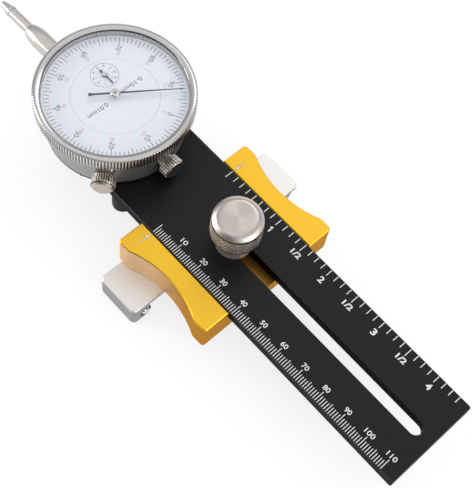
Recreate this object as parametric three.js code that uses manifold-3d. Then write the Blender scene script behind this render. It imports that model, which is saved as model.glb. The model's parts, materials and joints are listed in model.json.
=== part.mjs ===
// Table saw alignment gauge: a dial indicator on a slotted scale arm, which slides in a base
// with a miter slot bar and is held by a knurled clamp knob.
// Millimetres, +Z up. The origin is on the saw table's surface, under the arm's centre line,
// at the zero of the arm's scales. +X runs along the arm, away from the indicator.

import * as THREE from 'three';
import { mergeVertices } from 'three/addons/utils/BufferGeometryUtils.js';
import Module from 'manifold-3d';

const wasm = await Module();
wasm.setup();

// Counts and tolerances of the geometry
const LARGE_STEPS = 48;
const SMALL_STEPS = 16;
const TINY_STEPS = 8;
const CURVE_STEPS = 6;
const CORNER_STEPS = 4;
const LONG_CURVE_STEPS = 8;
const HEX_SIDES = 6;
const MERGE_TOLERANCE = 1e-4;
const OVERRUN = 1;

// Clearances
const RUNNING_GAP = 0.05;
const SLIDE_GAP = 0.15;
const FIXED_GAP = 0.03;
const SEAT_GAP = 0.1;
const RECESS_GAP = 0.2;

// Base body
const BASE_LENGTH = 44.45;
const BASE_BACK_X = -5.29;
const BASE_WIDTH = 59.8;
const BASE_HEIGHT = 13.4;
const BASE_CORNER = 1.3;
const BASE_CHAMFER = 0.4;
const WAIST_DEPTH = 3.7;
const WAIST_SPAN = 34;
const RELIEF_WIDTH = 12;
const RELIEF_DEPTH = 2.05;
const ARROW_LENGTH = 4.8;
const ARROW_HEAD_LENGTH = 2.4;
const ARROW_HEAD_WIDTH = 2;
const ARROW_SHAFT_WIDTH = 0.6;
const ARROW_DEPTH = 0.25;
const ARROW_INSET = 0.7;

// Scale arm
const ARM_WIDTH = 37.8;
const ARM_THICKNESS = 4.7;
const ARM_PROUD = 0.2;
const ARM_FRONT_X = 116;
const ARM_BACK_X = -57;
const ARM_CORNER = 0.8;
const ARM_BACK_CORNER = 5;
const ARM_CHAMFER = 0.2;
const SLOT_WIDTH = 5.5;
const SLOT_FRONT_X = 110.9;

// Miter bar
const BAR_WIDTH = 18.25;
const BAR_LENGTH = 80;
const BAR_THICKNESS = 9.5;
const BAR_BACK_X = -3.4;
const BAR_CORNER = 2;
const BAR_FLANGE = 2;
const PAD_LENGTH = 7.3;
const FLANK_RELIEF = 3.2;
const RELIEF_RAMP = 7;
const NOSE_LENGTH = 6.8;
const NOSE_TAPER = 2.2;

// Miter bar screws
const BAR_SCREW_RADIUS = 2;
const BAR_SCREW_HEAD_RADIUS = 3.6;
const BAR_SCREW_HEAD_HEIGHT = 3;
const BAR_SCREW_SPACING_SHARE = 0.45;
const BAR_SCREW_GRIP = 6;
const HEX_SOCKET_RADIUS = 1.4;
const HEX_SOCKET_DEPTH = 1.6;

// Ball plungers
const PLUNGER_END_INSET = 5.8;
const PLUNGER_RADIUS = 2.5;
const PLUNGER_LENGTH = 8;
const PLUNGER_INSET = 0.1;
const BALL_RADIUS = 1.75;
const BALL_PROUD = 0.8;
const BALL_STEPS = 9;
const PLUNGER_FLOOR = 1.5;
const PLUNGER_SPRING_WALL = 0.35;

// Clamp knob, its screw and washer
const CLAMP_X = 20.9;
const KNOB_RADIUS = 9;
const KNOB_TOP_RADIUS = 6.6;
const KNOB_BOTTOM_RADIUS = 8.1;
const KNOB_HEIGHT = 19.2;
const KNOB_SHOULDER_HEIGHT = 2.3;
const KNOB_BOTTOM_CHAMFER = 1;
const KNOB_COLLAR_HEIGHT = 7.5;
const KNOB_COLLAR_WALL = 0.9;
const CLAMP_SCREW_RADIUS = 2.5;
const CLAMP_SCREW_TIP = 2;
const CLAMP_SCREW_GRIP = 11;
const WASHER_RADIUS = 5.6;
const WASHER_THICKNESS = 1;

// Support feet under the arm
const FOOT_RADIUS = 4;
const FOOT_X = -20.6;
const FOOT_Y = 14.8;
const FOOT_EDGE = 1;
const FOOT_SCREW_RADIUS = 1.5;
const FOOT_SCREW_HEAD_RADIUS = 2.6;
const FOOT_SCREW_HEAD_HEIGHT = 1.8;
const FOOT_SCREW_RECESS = 3;
const FOOT_SCREW_GRIP = 3.2;

// Indicator: place on the arm, and levels above the arm's top
const DIAL_X = -42.08;
const DIAL_YAW_DEGREES = 1.3;
const COVER_MARGIN = 0.1;
const COVER_THICKNESS = 1.4;
const COVER_EDGE = 0.35;
const CASE_RADIUS = 25.4;
const CASE_WALL = 2;
const CASE_TOP = 14.85;
const CASE_NECK_TOP = 16;
const CASE_NECK_STEP = 1;
const CASE_LEDGE_WIDTH = 3.9;
const CASE_LEDGE_THICKNESS = 0.6;
const STEM_LEVEL = 6.47;

// Bezel, crystal and the two dials
const BEZEL_OVERHANG = 3.2;
const BEZEL_TOP = 20.75;
const BEZEL_BEVEL_WIDTH = 1.3;
const BEZEL_BEVEL_HEIGHT = 0.6;
const BEZEL_RIM_WIDTH = 0.85;
const BEZEL_RIBS = 96;
const RIB_DEPTH = 0.3;
const RIB_BAND_MARGIN = 0.35;
const CRYSTAL_SEAT = 0.75;
const CRYSTAL_SEAT_LEVEL = 19.4;
const CRYSTAL_THICKNESS = 0.7;
const CRYSTAL_DOME = 0.2;
const DIAL_LEVEL = 17.1;
const DIAL_THICKNESS = 0.5;
const GRADUATED_RING_WIDTH = 10.05;
const DIAL_SEAM = 0.08;
const DIAL_LEDGE_WIDTH = 1.1;
const DIAL_FOOT_RADIUS = 0.7;
const DIAL_FOOT_INSET = 1.8;
const DIAL_FOOT_ANGLES = [60, 200, 300];

// Pointers
const POINTER_TIP_INSET = 1.95;
const POINTER_TAIL = 9.3;
const POINTER_LEVEL = 18.75;
const POINTER_THICKNESS = 0.25;
const POINTER_TIP_WIDTH = 0.2;
const POINTER_ROOT_WIDTH = 0.75;
const POINTER_TAIL_WIDTH = 1.35;
const POINTER_FLARE_LENGTH = 2;
const POINTER_HUB_RADIUS = 1.7;
const POINTER_HUB_HEIGHT = 0.5;
const POINTER_ANGLE_DEGREES = 53.9;
const COUNTER_TIP = 4.6;
const COUNTER_TAIL = 2.4;
const COUNTER_HUB_RADIUS = 1;
const COUNTER_LEVEL = 17.4;
const COUNTER_TIP_WIDTH = 0.3;
const COUNTER_TAIL_WIDTH = 0.7;
const COUNTER_HUB_HEIGHT = 0.35;

// Movement: rack, wheels, arbors and plates
const TRAVEL = 10;
const RACK_PINION_TEETH = 16;
const CENTRE_PINION_TEETH = 10;
const WHEEL_TEETH = 100;
const WHEEL_TO_CENTRE = 9.3;
const WHEEL_ANGLE_DEGREES = 162.5;
const RACK_MODULE = TRAVEL / (Math.PI * RACK_PINION_TEETH);
const WHEEL_MODULE = 2 * WHEEL_TO_CENTRE / (WHEEL_TEETH + CENTRE_PINION_TEETH);
const ADDENDUM_SHARE = 0.75;
const DEDENDUM_SHARE = 1.15;
const TOOTH_THICKNESS_SHARE = 0.4;
const FLANK_SLOPE_SHARE = 0.36;
const ARBOR_RADIUS = 0.6;
const RACK_PINION_LENGTH = 2.2;
const CENTRE_PINION_BASE = 10.4;
const CENTRE_PINION_TOP = 13.4;
const COUNTER_WHEEL_BASE = 10.7;
const TAKEUP_WHEEL_BASE = 12.3;
const WHEEL_THICKNESS = 0.7;
const WHEEL_HUB_RADIUS = 1.4;
const HAIRSPRING_BASE = 13.6;
const HAIRSPRING_HEIGHT = 0.5;
const HAIRSPRING_INNER = 1.1;
const HAIRSPRING_PITCH = 0.7;
const HAIRSPRING_STRIP = 0.25;
const HAIRSPRING_TURNS = 4;
const HAIRSPRING_STEPS = 16;
const LOWER_PLATE_MARGIN = 1;
const PLATE_THICKNESS = 0.8;
const UPPER_PLATE_RADIUS = 17.6;
const UPPER_PLATE_BASE = 15.4;
const PILLAR_RADIUS = 1.3;
const PILLAR_CIRCLE = 15.6;
const PILLAR_ANGLES = [80, 215, 285];

// Stem, spindle and what rides on it
const SLEEVE_RADIUS = 3.75;
const SLEEVE_END_RADIUS = 2.35;
const SLEEVE_LENGTH = 14.4;
const SLEEVE_SHOULDER_LENGTH = 7.5;
const SLEEVE_INSET = 0.2;
const SHOULDER_ROUNDNESS_SHARE = 0.81;
const SPINDLE_RADIUS = 2.05;
const SPINDLE_PROUD = 10;
const SPINDLE_STEP_X = 11;
const SPINDLE_REAR_RADIUS = 1.8;
const CONTACT_RADIUS = 2.2;
const CONTACT_COLLAR = 1;
const CONTACT_LENGTH = 6.1;
const CONTACT_TIP_RADIUS = 1.2;
const CONTACT_STUD_RADIUS = 1;
const CONTACT_STUD_LENGTH = 4;
const REAR_BUSH_RADIUS = 2.8;
const REAR_BUSH_PROUD = 0.3;
const LIFTING_CAP_GAP = 0.4;
const LIFTING_CAP_LENGTH = 5.2;
const LIFTING_CAP_RADIUS = 4;
const LIFTING_CAP_NECK = 1;
const LIFTING_CAP_NECK_RADIUS = 2.9;
const LIFTING_CAP_CHAMFER = 0.7;
const LIFTING_CAP_FLOOR = 1;
const GUIDE_PIN_X = 5;
const GUIDE_PIN_RADIUS = 0.75;
const GUIDE_PIN_REACH = 6.8;
const GUIDE_PIN_ROOT = 1;
const GUIDE_RAIL_INNER = 5.2;
const GUIDE_RAIL_OUTER = 7.6;
const GUIDE_RAIL_TOP = 8.2;
const GUIDE_RAIL_FRONT = 6;
const GUIDE_RAIL_BACK = 2;
const RETURN_SPRING_Y = 3.9;
const RETURN_SPRING_RADIUS = 1.1;
const RETURN_SPRING_WALL = 0.35;
const RETURN_SPRING_INSET = 0.7;

// Indicator screws
const MOUNT_SCREW_RADIUS = 1.5;
const MOUNT_SCREW_HEAD_RADIUS = 2.8;
const MOUNT_SCREW_HEAD_HEIGHT = 1.6;
const MOUNT_SCREW_RECESS = 0.3;
const MOUNT_SCREW_END = 3.1;
const MOUNT_BOSS_RADIUS = 3;
const MOUNT_BOSS_TOP = 3.6;
const MOUNT_CIRCLE = 13;
const MOUNT_ANGLES = [90, 200, 290];
const COVER_SCREW_RADIUS = 0.6;
const COVER_SCREW_HEAD_RADIUS = 0.95;
const COVER_SCREW_HEAD_HEIGHT = 0.6;
const COVER_SCREW_END = 4.4;
const COVER_SCREW_ANGLES = [20, 110, 200, 290];

// Bezel lock screw and hook plate
const LOCK_ANGLE_DEGREES = -49.8;
const LOCK_PLATE_WIDTH = 6;
const LOCK_PLATE_THICKNESS = 1;
const LOCK_PLATE_BOTTOM = 2.9;
const LOCK_PLATE_GAP = 0.15;
const LOCK_KNOB_RADIUS = 4.35;
const LOCK_KNOB_LENGTH = 4.8;
const LOCK_KNOB_CHAMFER = 0.75;
const LOCK_KNOB_END_CHAMFER = 1.1;
const LOCK_KNOB_RIBS = 24;
const LOCK_RIB_DEPTH = 0.2;
const LOCK_SCREW_RADIUS = 1.5;
const LOCK_SCREW_REACH = 1.9;

// Levels and places that follow from the sizes
const ARM_TOP = BASE_HEIGHT + ARM_PROUD;
const ARM_BOTTOM = ARM_TOP - ARM_THICKNESS;
const BASE_FRONT_X = BASE_BACK_X + BASE_LENGTH;
const BASE_MIDDLE_X = BASE_BACK_X + BASE_LENGTH / 2;
const BAR_FRONT_X = BAR_BACK_X + BAR_WIDTH;
const BAR_MIDDLE_X = BAR_BACK_X + BAR_WIDTH / 2;
const SLOT_BACK_X = CLAMP_X - CLAMP_SCREW_RADIUS - SLIDE_GAP;
const PLUNGER_LEVEL = -(BAR_THICKNESS + BAR_FLANGE) / 2;
const BEZEL_BOTTOM = CASE_TOP + RUNNING_GAP;
const CASE_INNER_RADIUS = CASE_RADIUS - CASE_WALL;
const COVER_RADIUS = CASE_RADIUS - COVER_MARGIN;
const BEZEL_RADIUS = CASE_RADIUS + BEZEL_OVERHANG;
const BEZEL_RIM_RADIUS = BEZEL_RADIUS - BEZEL_BEVEL_WIDTH;
const BEZEL_OPENING_RADIUS = BEZEL_RIM_RADIUS - BEZEL_RIM_WIDTH;
const DIAL_RADIUS = BEZEL_OPENING_RADIUS - CRYSTAL_SEAT - RUNNING_GAP;
const DIAL_SEAM_RADIUS = DIAL_RADIUS - GRADUATED_RING_WIDTH;
const DIAL_FOOT_CIRCLE = DIAL_SEAM_RADIUS - DIAL_FOOT_INSET;
const POINTER_TIP = DIAL_RADIUS - POINTER_TIP_INSET;
const SLEEVE_INNER_END = CASE_INNER_RADIUS - SLEEVE_INSET;
const SLEEVE_SHOULDER_START = CASE_RADIUS + SLEEVE_LENGTH;
const SLEEVE_SHOULDER_END = SLEEVE_SHOULDER_START + SLEEVE_SHOULDER_LENGTH;
const SPINDLE_FRONT = SLEEVE_SHOULDER_END + SPINDLE_PROUD;
const CONTACT_TIP = SPINDLE_FRONT + CONTACT_LENGTH;
const LIFTING_CAP_START = CASE_RADIUS + REAR_BUSH_PROUD + LIFTING_CAP_GAP;
const LIFTING_CAP_END = LIFTING_CAP_START + LIFTING_CAP_LENGTH;
const LOWER_PLATE_BASE = STEM_LEVEL + SPINDLE_RADIUS + CASE_LEDGE_THICKNESS + RECESS_GAP;
const WHEEL_ANGLE = THREE.MathUtils.degToRad(WHEEL_ANGLE_DEGREES);
const WHEEL_X = WHEEL_TO_CENTRE * Math.cos(WHEEL_ANGLE);
const WHEEL_Y = WHEEL_TO_CENTRE * Math.sin(WHEEL_ANGLE);
const RACK_PITCH_RADIUS = RACK_MODULE * RACK_PINION_TEETH / 2;
const RACK_LINE_Y = WHEEL_Y - RACK_PITCH_RADIUS;

// Finishes
const FINISHES = {
  blackArm: { color: 0x2b2b2c, roughness: 0.5, metalness: 0.3 },
  goldBase: { color: 0xe9ab2c, roughness: 0.35, metalness: 0.8 },
  paleBar: { color: 0xd6d4d0, roughness: 0.45, metalness: 0.8 },
  nickel: { color: 0xb9b1a8, roughness: 0.3, metalness: 1 },
  steel: { color: 0xa8a8aa, roughness: 0.35, metalness: 1 },
  darkSteel: { color: 0x4a4a4c, roughness: 0.45, metalness: 0.9 },
  satinCase: { color: 0xb4b5b2, roughness: 0.45, metalness: 0.8 },
  chrome: { color: 0xd8d6d4, roughness: 0.12, metalness: 1 },
  blackPlastic: { color: 0x1b1b1c, roughness: 0.5, metalness: 0 },
  rubber: { color: 0x171717, roughness: 0.8, metalness: 0 },
  dialFace: { color: 0xe8edf5, roughness: 0.5, metalness: 0 },
  crystal: { color: 0xf2f6fa, roughness: 0.05, metalness: 0 },
  pointerBlack: { color: 0x2a2c30, roughness: 0.4, metalness: 0.3 },
  brass: { color: 0xc7a24a, roughness: 0.35, metalness: 1 },
};

// Geometry helpers

function degrees(angle) {
  return THREE.MathUtils.degToRad(angle);
}

function polar(radius, angle) {
  return [radius * Math.cos(angle), radius * Math.sin(angle)];
}

function moved(geometry, x, y, z) {
  return geometry.translate(x, y, z);
}

// A profile of [radius, height] points turned about Z
function turned(profile, steps = SMALL_STEPS) {
  const points = profile.map(([radius, height]) => new THREE.Vector2(radius, height));
  return new THREE.LatheGeometry(points, steps).rotateX(Math.PI / 2);
}

// A closed loop of [radius, height] points turned about Z
function turnedRing(profile, steps = LARGE_STEPS) {
  return turned([...profile, profile[0]], steps);
}

function rod(radius, bottom, top, steps = SMALL_STEPS) {
  return turned([[0, bottom], [radius, bottom], [radius, top], [0, top]], steps);
}

function tube(outer, inner, bottom, top, steps = SMALL_STEPS) {
  return turnedRing([[inner, bottom], [outer, bottom], [outer, top], [inner, top]], steps);
}

// Turns a shape that lies along Z to lie along X
function alongX(geometry) {
  return geometry.rotateY(Math.PI / 2);
}

function block(xMin, xMax, yMin, yMax, zMin, zMax) {
  const box = new THREE.BoxGeometry(xMax - xMin, yMax - yMin, zMax - zMin);
  return moved(box, (xMin + xMax) / 2, (yMin + yMax) / 2, (zMin + zMax) / 2);
}

function prism(shape, bottom, top) {
  const options = { depth: top - bottom, bevelEnabled: false, curveSegments: CURVE_STEPS };
  return moved(new THREE.ExtrudeGeometry(shape, options), 0, 0, bottom);
}

// A prism with a small chamfer round both ends
function chamferedPrism(shape, bottom, top, chamfer) {
  const options = {
    depth: top - bottom - 2 * chamfer,
    bevelEnabled: true,
    bevelThickness: chamfer,
    bevelSize: chamfer,
    bevelOffset: -chamfer,
    bevelSegments: 1,
    curveSegments: CURVE_STEPS,
  };
  return moved(new THREE.ExtrudeGeometry(shape, options), 0, 0, bottom + chamfer);
}

function outline(points) {
  return new THREE.Shape(points.map(([x, y]) => new THREE.Vector2(x, y)));
}

function ribbedOutline(radius, ribs, depth) {
  const points = [];
  for (let i = 0; i < ribs; i += 1) {
    points.push(polar(radius, 2 * Math.PI * i / ribs));
    points.push(polar(radius - depth, 2 * Math.PI * (i + 0.5) / ribs));
  }
  return outline(points);
}

function signedVolume(positions, corners) {
  let total = 0;
  const a = new THREE.Vector3();
  const b = new THREE.Vector3();
  const c = new THREE.Vector3();
  for (let i = 0; i < corners.length; i += 3) {
    a.fromArray(positions, 3 * corners[i]);
    b.fromArray(positions, 3 * corners[i + 1]);
    c.fromArray(positions, 3 * corners[i + 2]);
    total += a.dot(b.cross(c));
  }
  return total;
}

// A closed geometry as a solid, with shared corners merged and its faces pointing out
function solidOf(geometry) {
  const bare = geometry.clone();
  bare.deleteAttribute('normal');
  bare.deleteAttribute('uv');
  const merged = mergeVertices(bare, MERGE_TOLERANCE);
  const positions = merged.getAttribute('position').array;
  const index = merged.getIndex().array;
  const corners = [];
  for (let i = 0; i < index.length; i += 3) {
    const [a, b, c] = [index[i], index[i + 1], index[i + 2]];
    if (a !== b && b !== c && c !== a) corners.push(a, b, c);
  }
  if (signedVolume(positions, corners) < 0) corners.reverse();
  const vertProperties = new Float32Array(positions);
  const triVerts = new Uint32Array(corners);
  return new wasm.Manifold(new wasm.Mesh({ numProp: 3, vertProperties, triVerts }));
}

function geometryOf(solid) {
  const { vertProperties, triVerts } = solid.getMesh();
  const geometry = new THREE.BufferGeometry();
  geometry.setAttribute('position', new THREE.BufferAttribute(new Float32Array(vertProperties), 3));
  geometry.setIndex(new THREE.BufferAttribute(new Uint32Array(triVerts), 1));
  geometry.computeVertexNormals();
  return geometry;
}

function shaped(geometry, { joins = [], cuts = [] } = {}) {
  let solid = solidOf(geometry);
  for (const piece of joins) solid = solid.add(solidOf(piece));
  for (const piece of cuts) solid = solid.subtract(solidOf(piece));
  return geometryOf(solid);
}

function add(group, name, geometry, finish) {
  const mesh = new THREE.Mesh(shaped(geometry), new THREE.MeshStandardMaterial(FINISHES[finish]));
  mesh.name = name;
  group.add(mesh);
  return mesh;
}

// Base body

function waistCurve(shape, side) {
  const half = WAIST_SPAN / 2;
  const radius = (half * half + WAIST_DEPTH * WAIST_DEPTH) / (2 * WAIST_DEPTH);
  const centreY = side * (BASE_WIDTH / 2 - WAIST_DEPTH + radius);
  const reach = Math.asin(half / radius);
  const middle = -side * Math.PI / 2;
  shape.absarc(BASE_MIDDLE_X, centreY, radius, middle - reach, middle + reach, false);
}

function baseOutline() {
  const r = BASE_CORNER;
  const low = -BASE_WIDTH / 2;
  const high = BASE_WIDTH / 2;
  const shape = new THREE.Shape();
  shape.moveTo(BASE_BACK_X, low + r);
  shape.lineTo(BASE_BACK_X, high - r);
  shape.absarc(BASE_BACK_X + r, high - r, r, Math.PI, Math.PI / 2, true);
  waistCurve(shape, 1);
  shape.absarc(BASE_FRONT_X - r, high - r, r, Math.PI / 2, 0, true);
  shape.absarc(BASE_FRONT_X - r, low + r, r, 0, -Math.PI / 2, true);
  waistCurve(shape, -1);
  shape.absarc(BASE_BACK_X + r, low + r, r, -Math.PI / 2, -Math.PI, true);
  return shape;
}

// The arm's channel with the relief groove in its floor, as one cutter along X
function channelCutter() {
  const half = ARM_WIDTH / 2 + SLIDE_GAP;
  const groove = RELIEF_WIDTH / 2;
  const floor = ARM_BOTTOM - RELIEF_DEPTH;
  const rim = BASE_HEIGHT - BASE_CHAMFER;
  const wide = half + BASE_CHAMFER + OVERRUN;
  const top = BASE_HEIGHT + OVERRUN;
  const section = outline([
    [-half, ARM_BOTTOM], [-groove, ARM_BOTTOM], [-groove, floor], [groove, floor],
    [groove, ARM_BOTTOM], [half, ARM_BOTTOM], [half, rim], [wide, top], [-wide, top], [-half, rim],
  ]);
  const cutter = prism(section, BASE_BACK_X - OVERRUN, BASE_FRONT_X + OVERRUN);
  return cutter.rotateX(Math.PI / 2).rotateZ(Math.PI / 2);
}

function arrowCutter(side) {
  const tail = side * (BASE_WIDTH / 2 - ARROW_INSET - ARROW_LENGTH);
  const head = tail - side * ARROW_LENGTH;
  const neck = head + side * ARROW_HEAD_LENGTH;
  const shaft = ARROW_SHAFT_WIDTH / 2;
  const barb = ARROW_HEAD_WIDTH / 2;
  const arrow = outline([
    [-shaft, tail], [-shaft, neck], [-barb, neck], [0, head], [barb, neck], [shaft, neck], [shaft, tail],
  ]);
  return prism(arrow, BASE_HEIGHT - ARROW_DEPTH, BASE_HEIGHT + OVERRUN);
}

function barScrewPlaces() {
  const spacing = BAR_LENGTH * BAR_SCREW_SPACING_SHARE;
  return [-spacing / 2, spacing / 2];
}

function baseBody() {
  const body = chamferedPrism(baseOutline(), 0, BASE_HEIGHT, BASE_CHAMFER);
  const clampHole = moved(rod(CLAMP_SCREW_RADIUS + RUNNING_GAP, -OVERRUN, ARM_BOTTOM), CLAMP_X, 0, 0);
  const cuts = [channelCutter(), arrowCutter(1), arrowCutter(-1), clampHole];
  for (const y of barScrewPlaces()) {
    const hole = rod(BAR_SCREW_RADIUS + FIXED_GAP, -OVERRUN, BAR_SCREW_GRIP + OVERRUN);
    cuts.push(moved(hole, BAR_MIDDLE_X, y, 0));
  }
  return shaped(body, { cuts });
}

// Miter bar

function roundedBarOutline() {
  const r = BAR_CORNER;
  const x = BAR_WIDTH / 2 - r;
  const y = BAR_LENGTH / 2 - r;
  const shape = new THREE.Shape();
  shape.absarc(BAR_MIDDLE_X + x, y, r, 0, Math.PI / 2, false);
  shape.absarc(BAR_MIDDLE_X - x, y, r, Math.PI / 2, Math.PI, false);
  shape.absarc(BAR_MIDDLE_X - x, -y, r, Math.PI, 3 * Math.PI / 2, false);
  shape.absarc(BAR_MIDDLE_X + x, -y, r, -Math.PI / 2, 0, false);
  return shape;
}

// Half of one flank's relief: distance along the bar and depth into it
function flankCurve() {
  const end = BAR_LENGTH / 2;
  const points = [];
  const rampStart = end - PAD_LENGTH;
  for (let i = 0; i <= LONG_CURVE_STEPS; i += 1) {
    const turn = Math.PI / 2 * i / LONG_CURVE_STEPS;
    points.push([rampStart - RELIEF_RAMP * (1 - Math.cos(turn)), FLANK_RELIEF * Math.sin(turn)]);
  }
  return points;
}

function flankCutter(side) {
  const flank = BAR_MIDDLE_X + side * BAR_WIDTH / 2;
  const outside = flank + side * OVERRUN;
  const near = flankCurve().map(([y, depth]) => [flank - side * depth, -y]);
  const far = flankCurve().map(([y, depth]) => [flank - side * depth, y - NOSE_LENGTH]).reverse();
  const rampStart = BAR_LENGTH / 2 - PAD_LENGTH;
  const relief = outline([[outside, -rampStart], ...near, ...far, [outside, rampStart - NOSE_LENGTH]]);
  return prism(relief, -BAR_THICKNESS - OVERRUN, -BAR_FLANGE);
}

function noseCutter(side) {
  const flank = BAR_MIDDLE_X + side * BAR_WIDTH / 2;
  const outside = flank + side * OVERRUN;
  const end = BAR_LENGTH / 2;
  const taper = NOSE_TAPER * (NOSE_LENGTH + OVERRUN) / NOSE_LENGTH;
  const nose = outline([[outside, end - NOSE_LENGTH], [flank, end - NOSE_LENGTH],
    [flank - side * taper, end + OVERRUN], [outside, end + OVERRUN]]);
  return prism(nose, -BAR_THICKNESS - OVERRUN, -BAR_FLANGE);
}

function plungerPlaces() {
  return [
    { label: 'near', y: -BAR_LENGTH / 2 + PLUNGER_END_INSET },
    { label: 'far', y: BAR_LENGTH / 2 - NOSE_LENGTH - PAD_LENGTH / 2 + SEAT_GAP },
  ];
}

function miterBar() {
  const cuts = [];
  for (const side of [-1, 1]) cuts.push(flankCutter(side), noseCutter(side));
  for (const y of barScrewPlaces()) {
    const recess = BAR_SCREW_HEAD_HEIGHT + RECESS_GAP;
    const head = rod(BAR_SCREW_HEAD_RADIUS + SEAT_GAP, -BAR_THICKNESS - OVERRUN, -BAR_THICKNESS + recess);
    const shank = rod(BAR_SCREW_RADIUS + SEAT_GAP, -BAR_THICKNESS - OVERRUN, OVERRUN);
    cuts.push(moved(head, BAR_MIDDLE_X, y, 0), moved(shank, BAR_MIDDLE_X, y, 0));
  }
  for (const { y } of plungerPlaces()) {
    const start = BAR_FRONT_X - PLUNGER_INSET - PLUNGER_LENGTH;
    const hole = alongX(rod(PLUNGER_RADIUS + FIXED_GAP, start, BAR_FRONT_X + OVERRUN));
    cuts.push(moved(hole, 0, y, PLUNGER_LEVEL));
  }
  return shaped(chamferedPrism(roundedBarOutline(), -BAR_THICKNESS, 0, BASE_CHAMFER), { cuts });
}

function barScrew(y) {
  const headBottom = -BAR_THICKNESS + RECESS_GAP;
  const headTop = headBottom + BAR_SCREW_HEAD_HEIGHT;
  const screw = turned([[0, headBottom], [BAR_SCREW_HEAD_RADIUS, headBottom],
    [BAR_SCREW_HEAD_RADIUS, headTop], [BAR_SCREW_RADIUS, headTop],
    [BAR_SCREW_RADIUS, BAR_SCREW_GRIP], [0, BAR_SCREW_GRIP]]);
  const socket = rod(HEX_SOCKET_RADIUS, headBottom - OVERRUN, headBottom + HEX_SOCKET_DEPTH, HEX_SIDES);
  return moved(shaped(screw, { cuts: [socket] }), BAR_MIDDLE_X, y, 0);
}

// Ball plungers, pointing to +X

function plungerBore() {
  return BALL_RADIUS + RUNNING_GAP;
}

function plungerBody(y) {
  const front = BAR_FRONT_X - PLUNGER_INSET;
  const back = front - PLUNGER_LENGTH;
  const body = turned([[0, back + SEAT_GAP], [PLUNGER_RADIUS, back + SEAT_GAP], [PLUNGER_RADIUS, front],
    [plungerBore(), front], [plungerBore(), back + PLUNGER_FLOOR], [0, back + PLUNGER_FLOOR]]);
  return moved(alongX(body), 0, y, PLUNGER_LEVEL);
}

function ballCentreX() {
  return BAR_FRONT_X + BALL_PROUD - BALL_RADIUS;
}

function plungerBall(y) {
  const ball = new THREE.SphereGeometry(BALL_RADIUS, 2 * BALL_STEPS, BALL_STEPS);
  return moved(ball, ballCentreX(), y, PLUNGER_LEVEL);
}

function plungerSpring(y) {
  const back = BAR_FRONT_X - PLUNGER_INSET - PLUNGER_LENGTH + PLUNGER_FLOOR;
  const front = ballCentreX() - BALL_RADIUS;
  const outer = plungerBore() - SEAT_GAP;
  const inner = outer - PLUNGER_SPRING_WALL;
  const spring = tube(outer, inner, back + RUNNING_GAP, front - RUNNING_GAP, TINY_STEPS);
  return moved(alongX(spring), 0, y, PLUNGER_LEVEL);
}

// Clamp knob

function knobBottom() {
  return ARM_TOP + SEAT_GAP;
}

function knobTop() {
  return ARM_TOP + KNOB_HEIGHT;
}

function washerTop() {
  return ARM_TOP + WASHER_THICKNESS;
}

function screwTop() {
  return washerTop() + CLAMP_SCREW_GRIP;
}

function knobShoulder(top) {
  const points = [];
  for (let i = 0; i <= CORNER_STEPS; i += 1) {
    const turn = Math.PI / 2 * i / CORNER_STEPS;
    const inward = (KNOB_RADIUS - KNOB_TOP_RADIUS) * (1 - Math.cos(turn));
    points.push([KNOB_RADIUS - inward, top - KNOB_SHOULDER_HEIGHT * (1 - Math.sin(turn))]);
  }
  return points;
}

function clampKnob() {
  const bottom = knobBottom();
  const top = knobTop();
  const recess = WASHER_RADIUS + SEAT_GAP;
  const recessTop = washerTop() + RUNNING_GAP;
  const collar = recess + KNOB_COLLAR_WALL;
  const headBottom = ARM_TOP + KNOB_COLLAR_HEIGHT;
  const knob = turned([[0, recessTop], [recess, recessTop], [recess, bottom], [collar, bottom],
    [collar, headBottom], [KNOB_BOTTOM_RADIUS, headBottom],
    [KNOB_RADIUS, headBottom + KNOB_BOTTOM_CHAMFER], ...knobShoulder(top), [0, top]], LARGE_STEPS);
  const bore = rod(CLAMP_SCREW_RADIUS + FIXED_GAP, ARM_TOP, screwTop() + FIXED_GAP);
  return moved(shaped(knob, { cuts: [bore] }), CLAMP_X, 0, 0);
}

function clampScrew() {
  return moved(rod(CLAMP_SCREW_RADIUS, CLAMP_SCREW_TIP, screwTop()), CLAMP_X, 0, 0);
}

function clampWasher() {
  const washer = tube(WASHER_RADIUS, CLAMP_SCREW_RADIUS + SEAT_GAP, ARM_TOP, washerTop());
  return moved(washer, CLAMP_X, 0, 0);
}

// Scale arm

function armOutline() {
  const half = ARM_WIDTH / 2;
  const r = ARM_CORNER;
  const b = ARM_BACK_CORNER;
  const shape = new THREE.Shape();
  shape.absarc(ARM_FRONT_X - r, half - r, r, 0, Math.PI / 2, false);
  shape.absarc(ARM_BACK_X + b, half - b, b, Math.PI / 2, Math.PI, false);
  shape.absarc(ARM_BACK_X + b, -half + b, b, Math.PI, 3 * Math.PI / 2, false);
  shape.absarc(ARM_FRONT_X - r, -half + r, r, -Math.PI / 2, 0, false);
  return shape;
}

function slotOutline() {
  const r = SLOT_WIDTH / 2;
  const slot = new THREE.Shape();
  slot.absarc(SLOT_FRONT_X - r, 0, r, -Math.PI / 2, Math.PI / 2, false);
  slot.absarc(SLOT_BACK_X + r, 0, r, Math.PI / 2, 3 * Math.PI / 2, false);
  return slot;
}

function dialPoint(radius, angle) {
  const turn = degrees(angle + DIAL_YAW_DEGREES);
  const [x, y] = polar(radius, turn);
  return [DIAL_X + x, y];
}

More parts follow.
